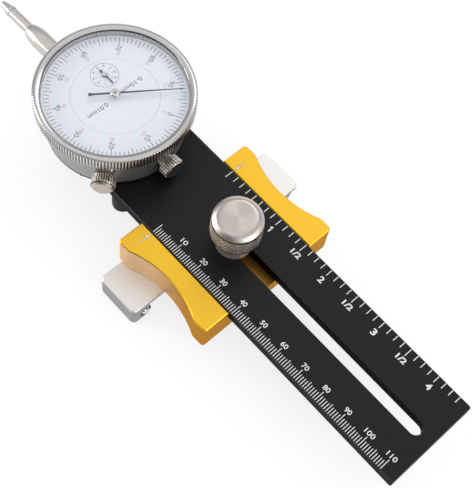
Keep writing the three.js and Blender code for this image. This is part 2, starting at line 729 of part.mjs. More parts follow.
function scaleArm() {
  const cuts = [prism(slotOutline(), ARM_BOTTOM - OVERRUN, ARM_TOP + OVERRUN)];
  for (const side of [-1, 1]) {
    const hole = rod(FOOT_SCREW_RADIUS + FIXED_GAP, ARM_BOTTOM - OVERRUN, ARM_BOTTOM + FOOT_SCREW_GRIP);
    cuts.push(moved(hole, FOOT_X, side * FOOT_Y, 0));
  }
  for (const angle of MOUNT_ANGLES) {
    const [x, y] = dialPoint(MOUNT_CIRCLE, angle);
    const headTop = ARM_BOTTOM + MOUNT_SCREW_RECESS + MOUNT_SCREW_HEAD_HEIGHT;
    const head = rod(MOUNT_SCREW_HEAD_RADIUS + SEAT_GAP, ARM_BOTTOM - OVERRUN, headTop);
    const shank = rod(MOUNT_SCREW_RADIUS + SEAT_GAP, ARM_BOTTOM - OVERRUN, ARM_TOP + OVERRUN);
    cuts.push(moved(head, x, y, 0), moved(shank, x, y, 0));
  }
  return shaped(chamferedPrism(armOutline(), ARM_BOTTOM, ARM_TOP, ARM_CHAMFER), { cuts });
}

// Support feet

function supportFoot(side) {
  const foot = turned([[0, 0], [FOOT_RADIUS - FOOT_EDGE, 0], [FOOT_RADIUS, FOOT_EDGE],
    [FOOT_RADIUS, ARM_BOTTOM], [0, ARM_BOTTOM]]);
  const recessTop = FOOT_SCREW_RECESS + FOOT_SCREW_HEAD_HEIGHT;
  const recess = rod(FOOT_SCREW_HEAD_RADIUS + SEAT_GAP, -OVERRUN, recessTop);
  const shank = rod(FOOT_SCREW_RADIUS + SEAT_GAP, -OVERRUN, ARM_BOTTOM + OVERRUN);
  return moved(shaped(foot, { cuts: [recess, shank] }), FOOT_X, side * FOOT_Y, 0);
}

function footScrew(side) {
  const headTop = FOOT_SCREW_RECESS + FOOT_SCREW_HEAD_HEIGHT;
  const end = ARM_BOTTOM + FOOT_SCREW_GRIP - RECESS_GAP;
  const screw = turned([[0, FOOT_SCREW_RECESS], [FOOT_SCREW_HEAD_RADIUS, FOOT_SCREW_RECESS],
    [FOOT_SCREW_HEAD_RADIUS, headTop], [FOOT_SCREW_RADIUS, headTop], [FOOT_SCREW_RADIUS, end], [0, end]]);
  return moved(screw, FOOT_X, side * FOOT_Y, 0);
}

// Indicator case and cover. Heights from here on are above the arm's top.

function onCircle(geometry, radius, angle) {
  const [x, y] = polar(radius, degrees(angle));
  return moved(geometry, x, y, 0);
}

function lockHole(radius, start, end) {
  const hole = moved(alongX(rod(radius, start, end)), 0, 0, STEM_LEVEL);
  return hole.rotateZ(degrees(LOCK_ANGLE_DEGREES));
}

function indicatorCase() {
  const inner = CASE_INNER_RADIUS;
  const neck = CASE_RADIUS - CASE_NECK_STEP;
  const ledge = inner - CASE_LEDGE_WIDTH;
  const ledgeBottom = LOWER_PLATE_BASE - CASE_LEDGE_THICKNESS;
  const wall = turnedRing([[inner, COVER_THICKNESS], [CASE_RADIUS, COVER_THICKNESS],
    [CASE_RADIUS, CASE_TOP], [neck, CASE_TOP], [neck, CASE_NECK_TOP], [inner, CASE_NECK_TOP],
    [inner, LOWER_PLATE_BASE], [ledge, LOWER_PLATE_BASE], [ledge, ledgeBottom], [inner, ledgeBottom]]);
  const middle = CASE_RADIUS - CASE_WALL / 2;
  const sleeveEnd = -SLEEVE_INNER_END + SEAT_GAP;
  const sleeveHole = alongX(rod(SLEEVE_RADIUS + FIXED_GAP, -CASE_RADIUS - OVERRUN, sleeveEnd));
  const bushHole = alongX(rod(REAR_BUSH_RADIUS + FIXED_GAP, inner - OVERRUN, CASE_RADIUS + OVERRUN));
  const cuts = [moved(sleeveHole, 0, 0, STEM_LEVEL), moved(bushHole, 0, 0, STEM_LEVEL)];
  cuts.push(lockHole(LOCK_SCREW_RADIUS + RUNNING_GAP, inner - OVERRUN, CASE_RADIUS + OVERRUN));
  for (const angle of COVER_SCREW_ANGLES) {
    cuts.push(onCircle(rod(COVER_SCREW_RADIUS + FIXED_GAP, 0, COVER_SCREW_END + SEAT_GAP), middle, angle));
  }
  return shaped(wall, { cuts });
}

function backCover() {
  const joins = [];
  const cuts = [];
  for (const angle of MOUNT_ANGLES) {
    joins.push(onCircle(rod(MOUNT_BOSS_RADIUS, COVER_THICKNESS / 2, MOUNT_BOSS_TOP), MOUNT_CIRCLE, angle));
    const hole = rod(MOUNT_SCREW_RADIUS + FIXED_GAP, -OVERRUN, MOUNT_SCREW_END + SEAT_GAP);
    cuts.push(onCircle(hole, MOUNT_CIRCLE, angle));
  }
  for (const angle of COVER_SCREW_ANGLES) {
    const middle = CASE_RADIUS - CASE_WALL / 2;
    const head = rod(COVER_SCREW_HEAD_RADIUS + RUNNING_GAP, -OVERRUN, COVER_SCREW_HEAD_HEIGHT + RUNNING_GAP);
    const shank = rod(COVER_SCREW_RADIUS + FIXED_GAP, -OVERRUN, COVER_THICKNESS + OVERRUN);
    cuts.push(onCircle(head, middle, angle), onCircle(shank, middle, angle));
  }
  const cover = turned([[0, 0], [COVER_RADIUS - COVER_EDGE, 0], [COVER_RADIUS, COVER_EDGE],
    [COVER_RADIUS, COVER_THICKNESS], [0, COVER_THICKNESS]], LARGE_STEPS);
  return shaped(cover, { joins, cuts });
}

function coverScrew(angle) {
  const screw = turned([[0, RUNNING_GAP], [COVER_SCREW_HEAD_RADIUS, RUNNING_GAP],
    [COVER_SCREW_HEAD_RADIUS, COVER_SCREW_HEAD_HEIGHT], [COVER_SCREW_RADIUS, COVER_SCREW_HEAD_HEIGHT],
    [COVER_SCREW_RADIUS, COVER_SCREW_END], [0, COVER_SCREW_END]], TINY_STEPS);
  return onCircle(screw, CASE_RADIUS - CASE_WALL / 2, angle);
}

function mountScrew(angle) {
  const headBottom = MOUNT_SCREW_RECESS - ARM_THICKNESS;
  const headTop = headBottom + MOUNT_SCREW_HEAD_HEIGHT - RUNNING_GAP;
  const screw = turned([[0, headBottom], [MOUNT_SCREW_HEAD_RADIUS, headBottom],
    [MOUNT_SCREW_HEAD_RADIUS, headTop], [MOUNT_SCREW_RADIUS, headTop],
    [MOUNT_SCREW_RADIUS, MOUNT_SCREW_END], [0, MOUNT_SCREW_END]]);
  return onCircle(screw, MOUNT_CIRCLE, angle);
}

// Bezel, crystal and dials

function bezelInner() {
  return CASE_RADIUS - CASE_NECK_STEP + SEAT_GAP;
}

function dialEdgeRadius() {
  return bezelInner() + DIAL_LEDGE_WIDTH;
}

function bezel() {
  const root = BEZEL_RADIUS - RIB_DEPTH;
  const rimStart = BEZEL_TOP - BEZEL_BEVEL_HEIGHT;
  const dialBottom = DIAL_LEVEL - DIAL_THICKNESS;
  const seat = BEZEL_OPENING_RADIUS - CRYSTAL_SEAT;
  const ring = turnedRing([[bezelInner(), BEZEL_BOTTOM], [root, BEZEL_BOTTOM], [root, rimStart],
    [BEZEL_RIM_RADIUS, BEZEL_TOP], [BEZEL_OPENING_RADIUS, BEZEL_TOP],
    [BEZEL_OPENING_RADIUS, CRYSTAL_SEAT_LEVEL], [seat, CRYSTAL_SEAT_LEVEL],
    [seat, dialBottom], [bezelInner(), dialBottom]]);
  const band = ribbedOutline(BEZEL_RADIUS, BEZEL_RIBS, RIB_DEPTH);
  band.holes.push(ribbedOutline(BEZEL_RIM_RADIUS, BEZEL_RIBS, 0));
  const bandTop = rimStart - RIB_BAND_MARGIN;
  return shaped(ring, { joins: [prism(band, BEZEL_BOTTOM + RIB_BAND_MARGIN, bandTop)] });
}

function crystal() {
  const radius = BEZEL_OPENING_RADIUS - RUNNING_GAP;
  const bottom = CRYSTAL_SEAT_LEVEL;
  const edge = bottom + CRYSTAL_THICKNESS;
  const profile = [[0, bottom], [radius, bottom], [radius, edge]];
  for (let i = CORNER_STEPS - 1; i >= 0; i -= 1) {
    const share = i / CORNER_STEPS;
    profile.push([radius * share, edge + CRYSTAL_DOME * (1 - share * share)]);
  }
  return turned(profile, LARGE_STEPS);
}

function graduatedRing() {
  const inner = DIAL_SEAM_RADIUS + DIAL_SEAM / 2;
  return tube(DIAL_RADIUS, inner, DIAL_LEVEL - DIAL_THICKNESS, DIAL_LEVEL, LARGE_STEPS);
}

function centreDial() {
  const bottom = DIAL_LEVEL - DIAL_THICKNESS;
  const disc = rod(DIAL_SEAM_RADIUS - DIAL_SEAM / 2, bottom, DIAL_LEVEL, LARGE_STEPS);
  const hole = ARBOR_RADIUS + RECESS_GAP;
  const footBottom = UPPER_PLATE_BASE + PLATE_THICKNESS;
  const footTop = DIAL_LEVEL - DIAL_THICKNESS / 2;
  const joins = DIAL_FOOT_ANGLES.map((angle) => (
    onCircle(rod(DIAL_FOOT_RADIUS, footBottom, footTop, TINY_STEPS), DIAL_FOOT_CIRCLE, angle)));
  const cuts = [rod(hole, bottom - OVERRUN, DIAL_LEVEL + OVERRUN)];
  cuts.push(moved(rod(hole, bottom - OVERRUN, DIAL_LEVEL + OVERRUN), WHEEL_X, WHEEL_Y, 0));
  return shaped(disc, { joins, cuts });
}

// Pointers

function mainPointer() {
  const tip = POINTER_TIP_WIDTH / 2;
  const root = POINTER_ROOT_WIDTH / 2;
  const tail = POINTER_TAIL_WIDTH / 2;
  const flare = POINTER_FLARE_LENGTH - POINTER_TAIL;
  const blade = outline([
    [-POINTER_TAIL, -tail], [flare, -root], [POINTER_HUB_RADIUS, -root], [POINTER_TIP, -tip],
    [POINTER_TIP, tip], [POINTER_HUB_RADIUS, root], [flare, root], [-POINTER_TAIL, tail],
  ]);
  const hubTop = POINTER_LEVEL + POINTER_HUB_HEIGHT;
  const hub = rod(POINTER_HUB_RADIUS, POINTER_LEVEL, hubTop);
  const hole = rod(ARBOR_RADIUS + FIXED_GAP, POINTER_LEVEL - OVERRUN, hubTop + OVERRUN);
  const pointer = prism(blade, POINTER_LEVEL, POINTER_LEVEL + POINTER_THICKNESS);
  return shaped(pointer, { joins: [hub], cuts: [hole] }).rotateZ(degrees(POINTER_ANGLE_DEGREES));
}

function counterPointer() {
  const blade = outline([[-COUNTER_TAIL, -COUNTER_TAIL_WIDTH / 2], [COUNTER_TIP, -COUNTER_TIP_WIDTH / 2],
    [COUNTER_TIP, COUNTER_TIP_WIDTH / 2], [-COUNTER_TAIL, COUNTER_TAIL_WIDTH / 2]]);
  const hubTop = COUNTER_LEVEL + COUNTER_HUB_HEIGHT;
  const hub = rod(COUNTER_HUB_RADIUS, COUNTER_LEVEL, hubTop);
  const hole = rod(ARBOR_RADIUS + FIXED_GAP, COUNTER_LEVEL - OVERRUN, hubTop + OVERRUN);
  const pointer = prism(blade, COUNTER_LEVEL, COUNTER_LEVEL + POINTER_THICKNESS);
  return moved(shaped(pointer, { joins: [hub], cuts: [hole] }), WHEEL_X, WHEEL_Y, 0);
}

// A gear with plain V-shaped teeth, one of them centred at the given angle
function gear(teeth, module, angle, bottom, top) {
  const tip = (teeth / 2 + ADDENDUM_SHARE) * module;
  const depth = (ADDENDUM_SHARE + DEDENDUM_SHARE) * module;
  return prism(ribbedOutline(tip, teeth, depth), bottom, top).rotateZ(angle);
}

function rackPinionAndWheel() {
  const bottom = STEM_LEVEL - RACK_PINION_LENGTH / 2;
  const top = STEM_LEVEL + RACK_PINION_LENGTH / 2;
  const arbor = rod(ARBOR_RADIUS, bottom, COUNTER_LEVEL + COUNTER_HUB_HEIGHT, TINY_STEPS);
  const pinion = gear(RACK_PINION_TEETH, RACK_MODULE, -Math.PI / 2, bottom, top);
  const gapTurn = Math.PI / WHEEL_TEETH;
  const wheelTop = COUNTER_WHEEL_BASE + WHEEL_THICKNESS;
  const angle = WHEEL_ANGLE + Math.PI + gapTurn;
  const wheel = gear(WHEEL_TEETH, WHEEL_MODULE, angle, COUNTER_WHEEL_BASE, wheelTop);
  const hub = rod(WHEEL_HUB_RADIUS, LOWER_PLATE_BASE + PLATE_THICKNESS + SEAT_GAP, wheelTop);
  return moved(shaped(arbor, { joins: [pinion, wheel, hub] }), WHEEL_X, WHEEL_Y, 0);
}

function centreArbor() {
  const top = POINTER_LEVEL + POINTER_HUB_HEIGHT;
  const arbor = rod(ARBOR_RADIUS, LOWER_PLATE_BASE, top, TINY_STEPS);
  const pinion = gear(CENTRE_PINION_TEETH, WHEEL_MODULE, WHEEL_ANGLE, CENTRE_PINION_BASE, CENTRE_PINION_TOP);
  return shaped(arbor, { joins: [pinion] });
}

function takeupWheel() {
  const top = UPPER_PLATE_BASE + PLATE_THICKNESS;
  const arbor = rod(ARBOR_RADIUS, LOWER_PLATE_BASE, top, TINY_STEPS);
  const gapTurn = Math.PI / WHEEL_TEETH;
  const wheelTop = TAKEUP_WHEEL_BASE + WHEEL_THICKNESS;
  const wheel = gear(WHEEL_TEETH, WHEEL_MODULE, WHEEL_ANGLE + gapTurn, TAKEUP_WHEEL_BASE, wheelTop);
  return moved(shaped(arbor, { joins: [wheel] }), -WHEEL_X, -WHEEL_Y, 0);
}

function hairspring() {
  const steps = HAIRSPRING_TURNS * HAIRSPRING_STEPS;
  const inner = [];
  const outer = [];
  for (let i = 0; i <= steps; i += 1) {
    const turn = 2 * Math.PI * i / HAIRSPRING_STEPS;
    const radius = HAIRSPRING_INNER + HAIRSPRING_PITCH * i / HAIRSPRING_STEPS;
    inner.push(polar(radius, turn));
    outer.push(polar(radius + HAIRSPRING_STRIP, turn));
  }
  const strip = outline([...inner, ...outer.reverse()]);
  return moved(prism(strip, HAIRSPRING_BASE, HAIRSPRING_BASE + HAIRSPRING_HEIGHT), -WHEEL_X, -WHEEL_Y, 0);
}

// Movement plates and pillars

function arborHoles(bottom, top) {
  const radius = ARBOR_RADIUS + RUNNING_GAP;
  const places = [[0, 0], [WHEEL_X, WHEEL_Y], [-WHEEL_X, -WHEEL_Y]];
  return places.map(([x, y]) => moved(rod(radius, bottom, top, TINY_STEPS), x, y, 0));
}

function lowerPlate() {
  const top = LOWER_PLATE_BASE + PLATE_THICKNESS;
  const plate = rod(CASE_INNER_RADIUS - LOWER_PLATE_MARGIN, LOWER_PLATE_BASE, top, LARGE_STEPS);
  return shaped(plate, { cuts: arborHoles(LOWER_PLATE_BASE - OVERRUN, top + OVERRUN) });
}

function upperPlate() {
  const top = UPPER_PLATE_BASE + PLATE_THICKNESS;
  const plate = rod(UPPER_PLATE_RADIUS, UPPER_PLATE_BASE, top, LARGE_STEPS);
  return shaped(plate, { cuts: arborHoles(UPPER_PLATE_BASE - OVERRUN, top + OVERRUN) });
}

function pillar(angle) {
  const column = rod(PILLAR_RADIUS, LOWER_PLATE_BASE + PLATE_THICKNESS, UPPER_PLATE_BASE);
  return onCircle(column, PILLAR_CIRCLE, angle);
}

// Stem sleeve, spindle and contact point, along the indicator's X axis

function stemSleeve() {
  const length = SLEEVE_SHOULDER_END - SLEEVE_SHOULDER_START;
  const drop = SLEEVE_RADIUS - SLEEVE_END_RADIUS;
  const endValue = Math.sqrt(1 - SHOULDER_ROUNDNESS_SHARE);
  const shoulder = [];
  for (let i = 0; i <= LONG_CURVE_STEPS; i += 1) {
    const share = 1 - i / LONG_CURVE_STEPS;
    const value = Math.sqrt(1 - SHOULDER_ROUNDNESS_SHARE * share * share);
    const radius = SLEEVE_END_RADIUS + drop * (value - endValue) / (1 - endValue);
    shoulder.push([radius, -SLEEVE_SHOULDER_START - length * share]);
  }
  const bore = SPINDLE_RADIUS + RUNNING_GAP;
  const sleeve = turnedRing([[bore, -SLEEVE_SHOULDER_END], ...shoulder,
    [SLEEVE_RADIUS, -SLEEVE_INNER_END], [bore, -SLEEVE_INNER_END]], SMALL_STEPS);
  return moved(alongX(sleeve), 0, 0, STEM_LEVEL);
}

// The comb that cuts the rack: its teeth are the gaps between the rack's teeth
function rackCutter() {
  const pitch = Math.PI * RACK_MODULE;
  const gapHalf = pitch * (1 - TOOTH_THICKNESS_SHARE) / 2;
  const tip = RACK_LINE_Y + ADDENDUM_SHARE * RACK_MODULE;
  const root = RACK_LINE_Y - DEDENDUM_SHARE * RACK_MODULE;
  const tipHalf = gapHalf + ADDENDUM_SHARE * RACK_MODULE * FLANK_SLOPE_SHARE;
  const rootHalf = gapHalf - DEDENDUM_SHARE * RACK_MODULE * FLANK_SLOPE_SHARE;
  const gaps = Math.ceil((TRAVEL + RACK_PITCH_RADIUS * 2) / pitch);
  const ahead = Math.ceil(RACK_PITCH_RADIUS / pitch);
  const points = [];
  for (let i = ahead - gaps; i <= ahead; i += 1) {
    const x = WHEEL_X + pitch * i;
    points.push([x - tipHalf, tip], [x - rootHalf, root], [x + rootHalf, root], [x + tipHalf, tip]);
  }
  const first = points[0][0];
  const last = points[points.length - 1][0];
  const top = SPINDLE_RADIUS + OVERRUN;
  const comb = outline([...points, [last, top], [first, top]]);
  return prism(comb, STEM_LEVEL - SPINDLE_RADIUS - OVERRUN, STEM_LEVEL + SPINDLE_RADIUS + OVERRUN);
}

function rackSpindle() {
  const rear = LIFTING_CAP_END - LIFTING_CAP_FLOOR - FIXED_GAP;
  const bar = turned([[0, -SPINDLE_FRONT], [SPINDLE_RADIUS, -SPINDLE_FRONT], [SPINDLE_RADIUS, SPINDLE_STEP_X],
    [SPINDLE_REAR_RADIUS, SPINDLE_STEP_X], [SPINDLE_REAR_RADIUS, rear], [0, rear]]);
  const spindle = moved(alongX(bar), 0, 0, STEM_LEVEL);
  const studHole = alongX(rod(CONTACT_STUD_RADIUS + FIXED_GAP, -SPINDLE_FRONT - OVERRUN,
    -SPINDLE_FRONT + CONTACT_STUD_LENGTH + SEAT_GAP));
  const pinHole = rod(GUIDE_PIN_RADIUS + FIXED_GAP, GUIDE_PIN_ROOT, SPINDLE_RADIUS + OVERRUN, TINY_STEPS);
  pinHole.rotateX(Math.PI / 2);
  const cuts = [rackCutter(), moved(studHole, 0, 0, STEM_LEVEL), moved(pinHole, GUIDE_PIN_X, 0, STEM_LEVEL)];
  return shaped(spindle, { cuts });
}

function contactPoint() {
  const coneBase = SPINDLE_FRONT + CONTACT_COLLAR + RUNNING_GAP;
  const tipCentre = CONTACT_TIP - CONTACT_TIP_RADIUS;
  const profile = [[0, -CONTACT_TIP]];
  for (let i = 1; i <= CORNER_STEPS; i += 1) {
    const turn = Math.PI / 2 * i / (CORNER_STEPS + 1);
    profile.push([CONTACT_TIP_RADIUS * Math.sin(turn), -tipCentre - CONTACT_TIP_RADIUS * Math.cos(turn)]);
  }
  const seat = -SPINDLE_FRONT - RUNNING_GAP;
  const studEnd = -SPINDLE_FRONT + CONTACT_STUD_LENGTH;
  profile.push([CONTACT_RADIUS, -coneBase], [CONTACT_RADIUS, seat], [CONTACT_STUD_RADIUS, seat],
    [CONTACT_STUD_RADIUS, studEnd], [0, studEnd]);
  return moved(alongX(turned(profile)), 0, 0, STEM_LEVEL);
}

function rearBush() {
  const bore = SPINDLE_REAR_RADIUS + RUNNING_GAP;
  const bush = tube(REAR_BUSH_RADIUS, bore, CASE_INNER_RADIUS, CASE_RADIUS + REAR_BUSH_PROUD);
  return moved(alongX(bush), 0, 0, STEM_LEVEL);
}

function liftingCap() {
  const bore = SPINDLE_REAR_RADIUS + FIXED_GAP;
  const neckEnd = LIFTING_CAP_START + LIFTING_CAP_NECK;
  const end = LIFTING_CAP_END;
  const floor = end - LIFTING_CAP_FLOOR;
  const cap = turned([[0, floor], [bore, floor], [bore, LIFTING_CAP_START],
    [LIFTING_CAP_NECK_RADIUS, LIFTING_CAP_START], [LIFTING_CAP_NECK_RADIUS, neckEnd],
    [LIFTING_CAP_RADIUS, neckEnd], [LIFTING_CAP_RADIUS, end - LIFTING_CAP_CHAMFER],
    [LIFTING_CAP_RADIUS - LIFTING_CAP_CHAMFER, end], [0, end]]);
  return moved(alongX(cap), 0, 0, STEM_LEVEL);
}

function guidePin() {
  const pin = rod(GUIDE_PIN_RADIUS, GUIDE_PIN_ROOT + RUNNING_GAP, GUIDE_PIN_REACH, TINY_STEPS);
  return moved(pin.rotateX(Math.PI / 2), GUIDE_PIN_X, 0, STEM_LEVEL);
}

function guideRail() {
  const start = GUIDE_PIN_X - GUIDE_RAIL_FRONT;
  const end = GUIDE_PIN_X + TRAVEL + GUIDE_RAIL_BACK;
  const rail = block(start, end, -GUIDE_RAIL_OUTER, -GUIDE_RAIL_INNER, COVER_THICKNESS, GUIDE_RAIL_TOP);
  const half = GUIDE_PIN_RADIUS + RUNNING_GAP;
  const slotEnd = end - GUIDE_PIN_RADIUS;
  const slot = block(start - OVERRUN, slotEnd, -GUIDE_RAIL_OUTER - OVERRUN, -GUIDE_RAIL_INNER + OVERRUN,
    STEM_LEVEL - half, STEM_LEVEL + half);
  return shaped(rail, { cuts: [slot] });
}

function returnSpring() {
  const end = GUIDE_PIN_X - GUIDE_PIN_RADIUS - RUNNING_GAP;
  const inner = RETURN_SPRING_RADIUS - RETURN_SPRING_WALL;
  const start = RETURN_SPRING_INSET - CASE_INNER_RADIUS;
  const spring = tube(RETURN_SPRING_RADIUS, inner, start, end, TINY_STEPS);
  return moved(alongX(spring), 0, -RETURN_SPRING_Y, STEM_LEVEL);
}

// Bezel lock

function lockPlateInner() {
  return CASE_RADIUS + LOCK_PLATE_GAP;
}

function bezelLockPlate() {
  const inner = lockPlateInner();
  const half = LOCK_PLATE_WIDTH / 2;
  const top = BEZEL_BOTTOM - RUNNING_GAP;
  const outer = inner + LOCK_PLATE_THICKNESS;
  const plate = block(inner, outer, -half, half, LOCK_PLATE_BOTTOM, top);
  const hole = alongX(rod(LOCK_SCREW_RADIUS + SEAT_GAP, inner - OVERRUN, outer + OVERRUN));
  return shaped(plate, { cuts: [moved(hole, 0, 0, STEM_LEVEL)] }).rotateZ(degrees(LOCK_ANGLE_DEGREES));
}

function bezelLockScrew() {
  const start = lockPlateInner() + LOCK_PLATE_THICKNESS + RUNNING_GAP;
  const back = LOCK_KNOB_RADIUS - LOCK_KNOB_CHAMFER;
  const face = LOCK_KNOB_RADIUS - LOCK_KNOB_END_CHAMFER;
  const end = start + LOCK_KNOB_LENGTH;
  const chamferStart = end - LOCK_KNOB_END_CHAMFER;
  const chamferEnd = start + LOCK_KNOB_CHAMFER;
  const root = LOCK_KNOB_RADIUS - LOCK_RIB_DEPTH;
  const head = turned([[0, start], [back, start], [root, chamferEnd], [root, chamferStart],
    [face, end], [0, end]], LOCK_KNOB_RIBS);
  const ribs = ribbedOutline(LOCK_KNOB_RADIUS, LOCK_KNOB_RIBS, LOCK_RIB_DEPTH);
  const band = prism(ribs, chamferEnd, chamferStart);
  const shank = rod(LOCK_SCREW_RADIUS, CASE_INNER_RADIUS - LOCK_SCREW_REACH, chamferEnd, TINY_STEPS);
  const screw = shaped(head, { joins: [band, shank] });
  return moved(alongX(screw), 0, 0, STEM_LEVEL).rotateZ(degrees(LOCK_ANGLE_DEGREES));
}

// Assembly

const gauge = new THREE.Group();

add(gauge, 'base_body', baseBody(), 'goldBase');
add(gauge, 'miter_bar', miterBar(), 'paleBar');
barScrewPlaces().forEach((y, i) => add(gauge, `bar_screw_${i + 1}`, barScrew(y), 'darkSteel'));
for (const { label, y } of plungerPlaces()) {
  add(gauge, `plunger_body_${label}`, plungerBody(y), 'darkSteel');
  add(gauge, `plunger_ball_${label}`, plungerBall(y), 'steel');
  add(gauge, `plunger_spring_${label}`, plungerSpring(y), 'steel');
}
add(gauge, 'clamp_knob', clampKnob(), 'nickel');
add(gauge, 'clamp_screw', clampScrew(), 'steel');
add(gauge, 'clamp_washer', clampWasher(), 'steel');
add(gauge, 'scale_arm', scaleArm(), 'blackArm');
for (const [label, side] of [['near', -1], ['far', 1]]) {
  add(gauge, `support_foot_${label}`, supportFoot(side), 'rubber');
  add(gauge, `foot_screw_${label}`, footScrew(side), 'darkSteel');
}

const indicator = new THREE.Group();
indicator.position.set(DIAL_X, 0, ARM_TOP);
indicator.rotation.z = degrees(DIAL_YAW_DEGREES);
gauge.add(indicator);

add(indicator, 'back_cover', backCover(), 'blackPlastic');
add(indicator, 'indicator_case', indicatorCase(), 'satinCase');
MOUNT_ANGLES.forEach((angle, i) => {
  add(indicator, `mount_screw_${i + 1}`, mountScrew(angle), 'darkSteel');
});
COVER_SCREW_ANGLES.forEach((angle, i) => {
  add(indicator, `cover_screw_${i + 1}`, coverScrew(angle), 'darkSteel');
});
add(indicator, 'bezel', bezel(), 'chrome');
add(indicator, 'crystal', crystal(), 'crystal');
add(indicator, 'graduated_ring', graduatedRing(), 'dialFace');
add(indicator, 'centre_dial', centreDial(), 'dialFace');
add(indicator, 'main_pointer', mainPointer(), 'pointerBlack');
add(indicator, 'counter_pointer', counterPointer(), 'pointerBlack');
add(indicator, 'centre_arbor', centreArbor(), 'steel');
add(indicator, 'counter_wheel', rackPinionAndWheel(), 'brass');
add(indicator, 'takeup_wheel', takeupWheel(), 'brass');
add(indicator, 'hairspring', hairspring(), 'steel');
add(indicator, 'lower_plate', lowerPlate(), 'brass');
add(indicator, 'upper_plate', upperPlate(), 'brass');
PILLAR_ANGLES.forEach((angle, i) => add(indicator, `pillar_${i + 1}`, pillar(angle), 'brass'));
add(indicator, 'stem_sleeve', stemSleeve(), 'nickel');
add(indicator, 'rack_spindle', rackSpindle(), 'nickel');
add(indicator, 'contact_point', contactPoint(), 'steel');
add(indicator, 'rear_bush', rearBush(), 'nickel');
add(indicator, 'lifting_cap', liftingCap(), 'nickel');
add(indicator, 'guide_pin', guidePin(), 'steel');
add(indicator, 'guide_rail', guideRail(), 'darkSteel');
add(indicator, 'return_spring', returnSpring(), 'steel');
add(indicator, 'bezel_lock_plate', bezelLockPlate(), 'nickel');
add(indicator, 'bezel_lock_screw', bezelLockScrew(), 'nickel');

export default gauge;
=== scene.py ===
"""Looks of a table saw alignment gauge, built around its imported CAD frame.

Sizes are millimetres until a mesh is made, and the frame is the CAD's: z 0 is the saw table,
y 0 the arm's centre line, x 0 the zero of the arm's scales, and +X the arm's free end.
"""

import json
import math

import bmesh
import bpy
from mathutils import Matrix, Vector


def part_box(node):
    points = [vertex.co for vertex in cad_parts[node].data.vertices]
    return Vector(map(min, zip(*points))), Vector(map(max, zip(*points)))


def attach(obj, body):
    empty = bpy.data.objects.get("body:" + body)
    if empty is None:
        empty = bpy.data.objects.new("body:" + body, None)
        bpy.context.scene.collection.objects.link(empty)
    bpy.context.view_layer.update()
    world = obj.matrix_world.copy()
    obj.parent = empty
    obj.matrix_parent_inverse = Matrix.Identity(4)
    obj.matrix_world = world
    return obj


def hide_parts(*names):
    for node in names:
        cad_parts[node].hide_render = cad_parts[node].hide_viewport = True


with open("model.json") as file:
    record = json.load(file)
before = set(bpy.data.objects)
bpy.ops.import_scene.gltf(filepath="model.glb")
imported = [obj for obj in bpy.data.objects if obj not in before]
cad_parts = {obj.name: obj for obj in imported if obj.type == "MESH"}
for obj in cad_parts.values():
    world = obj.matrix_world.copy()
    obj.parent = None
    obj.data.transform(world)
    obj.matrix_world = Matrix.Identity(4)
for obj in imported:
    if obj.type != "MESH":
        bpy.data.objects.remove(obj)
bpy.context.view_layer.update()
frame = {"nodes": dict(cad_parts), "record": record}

MM = 0.001
SLOTS = {row["node"]: row["material_slot"] for row in frame["record"]["subparts"]}
BODY_OF = {node: body for body, nodes in frame["record"]["behaviour"]["bodies"].items() for node in nodes}

# Levels and places of the CAD
ARM_TOP = 13.6
BASE_TOP = 13.4
DIAL_X = -42.08
DIAL_YAW = math.radians(1.3)
CHANNEL_FLOOR = 9.0
STEM_LEVEL = 6.47
CLAMP_X = 20.9
DIAL_LEVEL = 17.1
WHEEL_RADIUS = 9.3
WHEEL_ANGLE = math.radians(162.5)

# Thickness of paint above the surface, and how far it reaches into it
PAINT = 0.02
PAINT_ROOT = 0.02

# Degrees between two faces from which their edge gets a bevel
EDGE_ANGLE = 28


# Mesh helpers

def polar(radius, angle):
    return radius * math.cos(angle), radius * math.sin(angle)


def made(name, verts, faces, smooth=30):
    """A new object from points in millimetres, with faces smooth up to an angle in degrees."""
    mesh = bpy.data.meshes.new(name)
    mesh.from_pydata([[c * MM for c in v] for v in verts], [], faces)
    bm = bmesh.new()
    bm.from_mesh(mesh)
    bmesh.ops.recalc_face_normals(bm, faces=bm.faces)
    bm.to_mesh(mesh)
    bm.free()
    shade(mesh, smooth)
    obj = bpy.data.objects.new(name, mesh)
    bpy.context.scene.collection.objects.link(obj)
    return obj


def shade(mesh, angle):
    mesh.polygons.foreach_set("use_smooth", [True] * len(mesh.polygons))
    mesh.set_sharp_from_angle(angle=math.radians(angle))


def grid_faces(rows, columns, closed):
    """Quads between rows of points that each run once round."""
    faces = []
    for j in range(rows if closed else rows - 1):
        k = (j + 1) % rows
        for i in range(columns):
            n = (i + 1) % columns
            faces.append((j * columns + i, j * columns + n, k * columns + n, k * columns + i))
    return faces


def lathe(name, profile, columns=96, closed=False, rib=None, smooth=30):
    """A profile of (radius, height) turned about Z. rib(index of the point, column) adds to the radius."""
    verts = []
    ends = (not closed) and profile[0][0] == 0, (not closed) and profile[-1][0] == 0
    body = list(enumerate(profile))[1 if ends[0] else 0:len(profile) - 1 if ends[1] else len(profile)]
    for index, (radius, height) in body:
        for i in range(columns):
            r = radius + (rib(index, i) if rib else 0)
            x, y = polar(r, 2 * math.pi * i / columns)
            verts.append((x, y, height))
    faces = grid_faces(len(body), columns, closed)
    for flag, row, (_, height) in ((ends[0], 0, profile[0]), (ends[1], len(body) - 1, profile[-1])):
        if flag:
            verts.append((0, 0, height))
            pole = len(verts) - 1
            for i in range(columns):
                faces.append((row * columns + i, row * columns + (i + 1) % columns, pole))
    return made(name, verts, faces, smooth)


def banded(obj, columns, rows, plain):
    """Gives a plain finish to a turned piece's faces outside some rows of its profile."""
    obj.data.materials.append(plain)
    for polygon in obj.data.polygons:
        if polygon.index // columns not in rows:
            polygon.material_index = 1


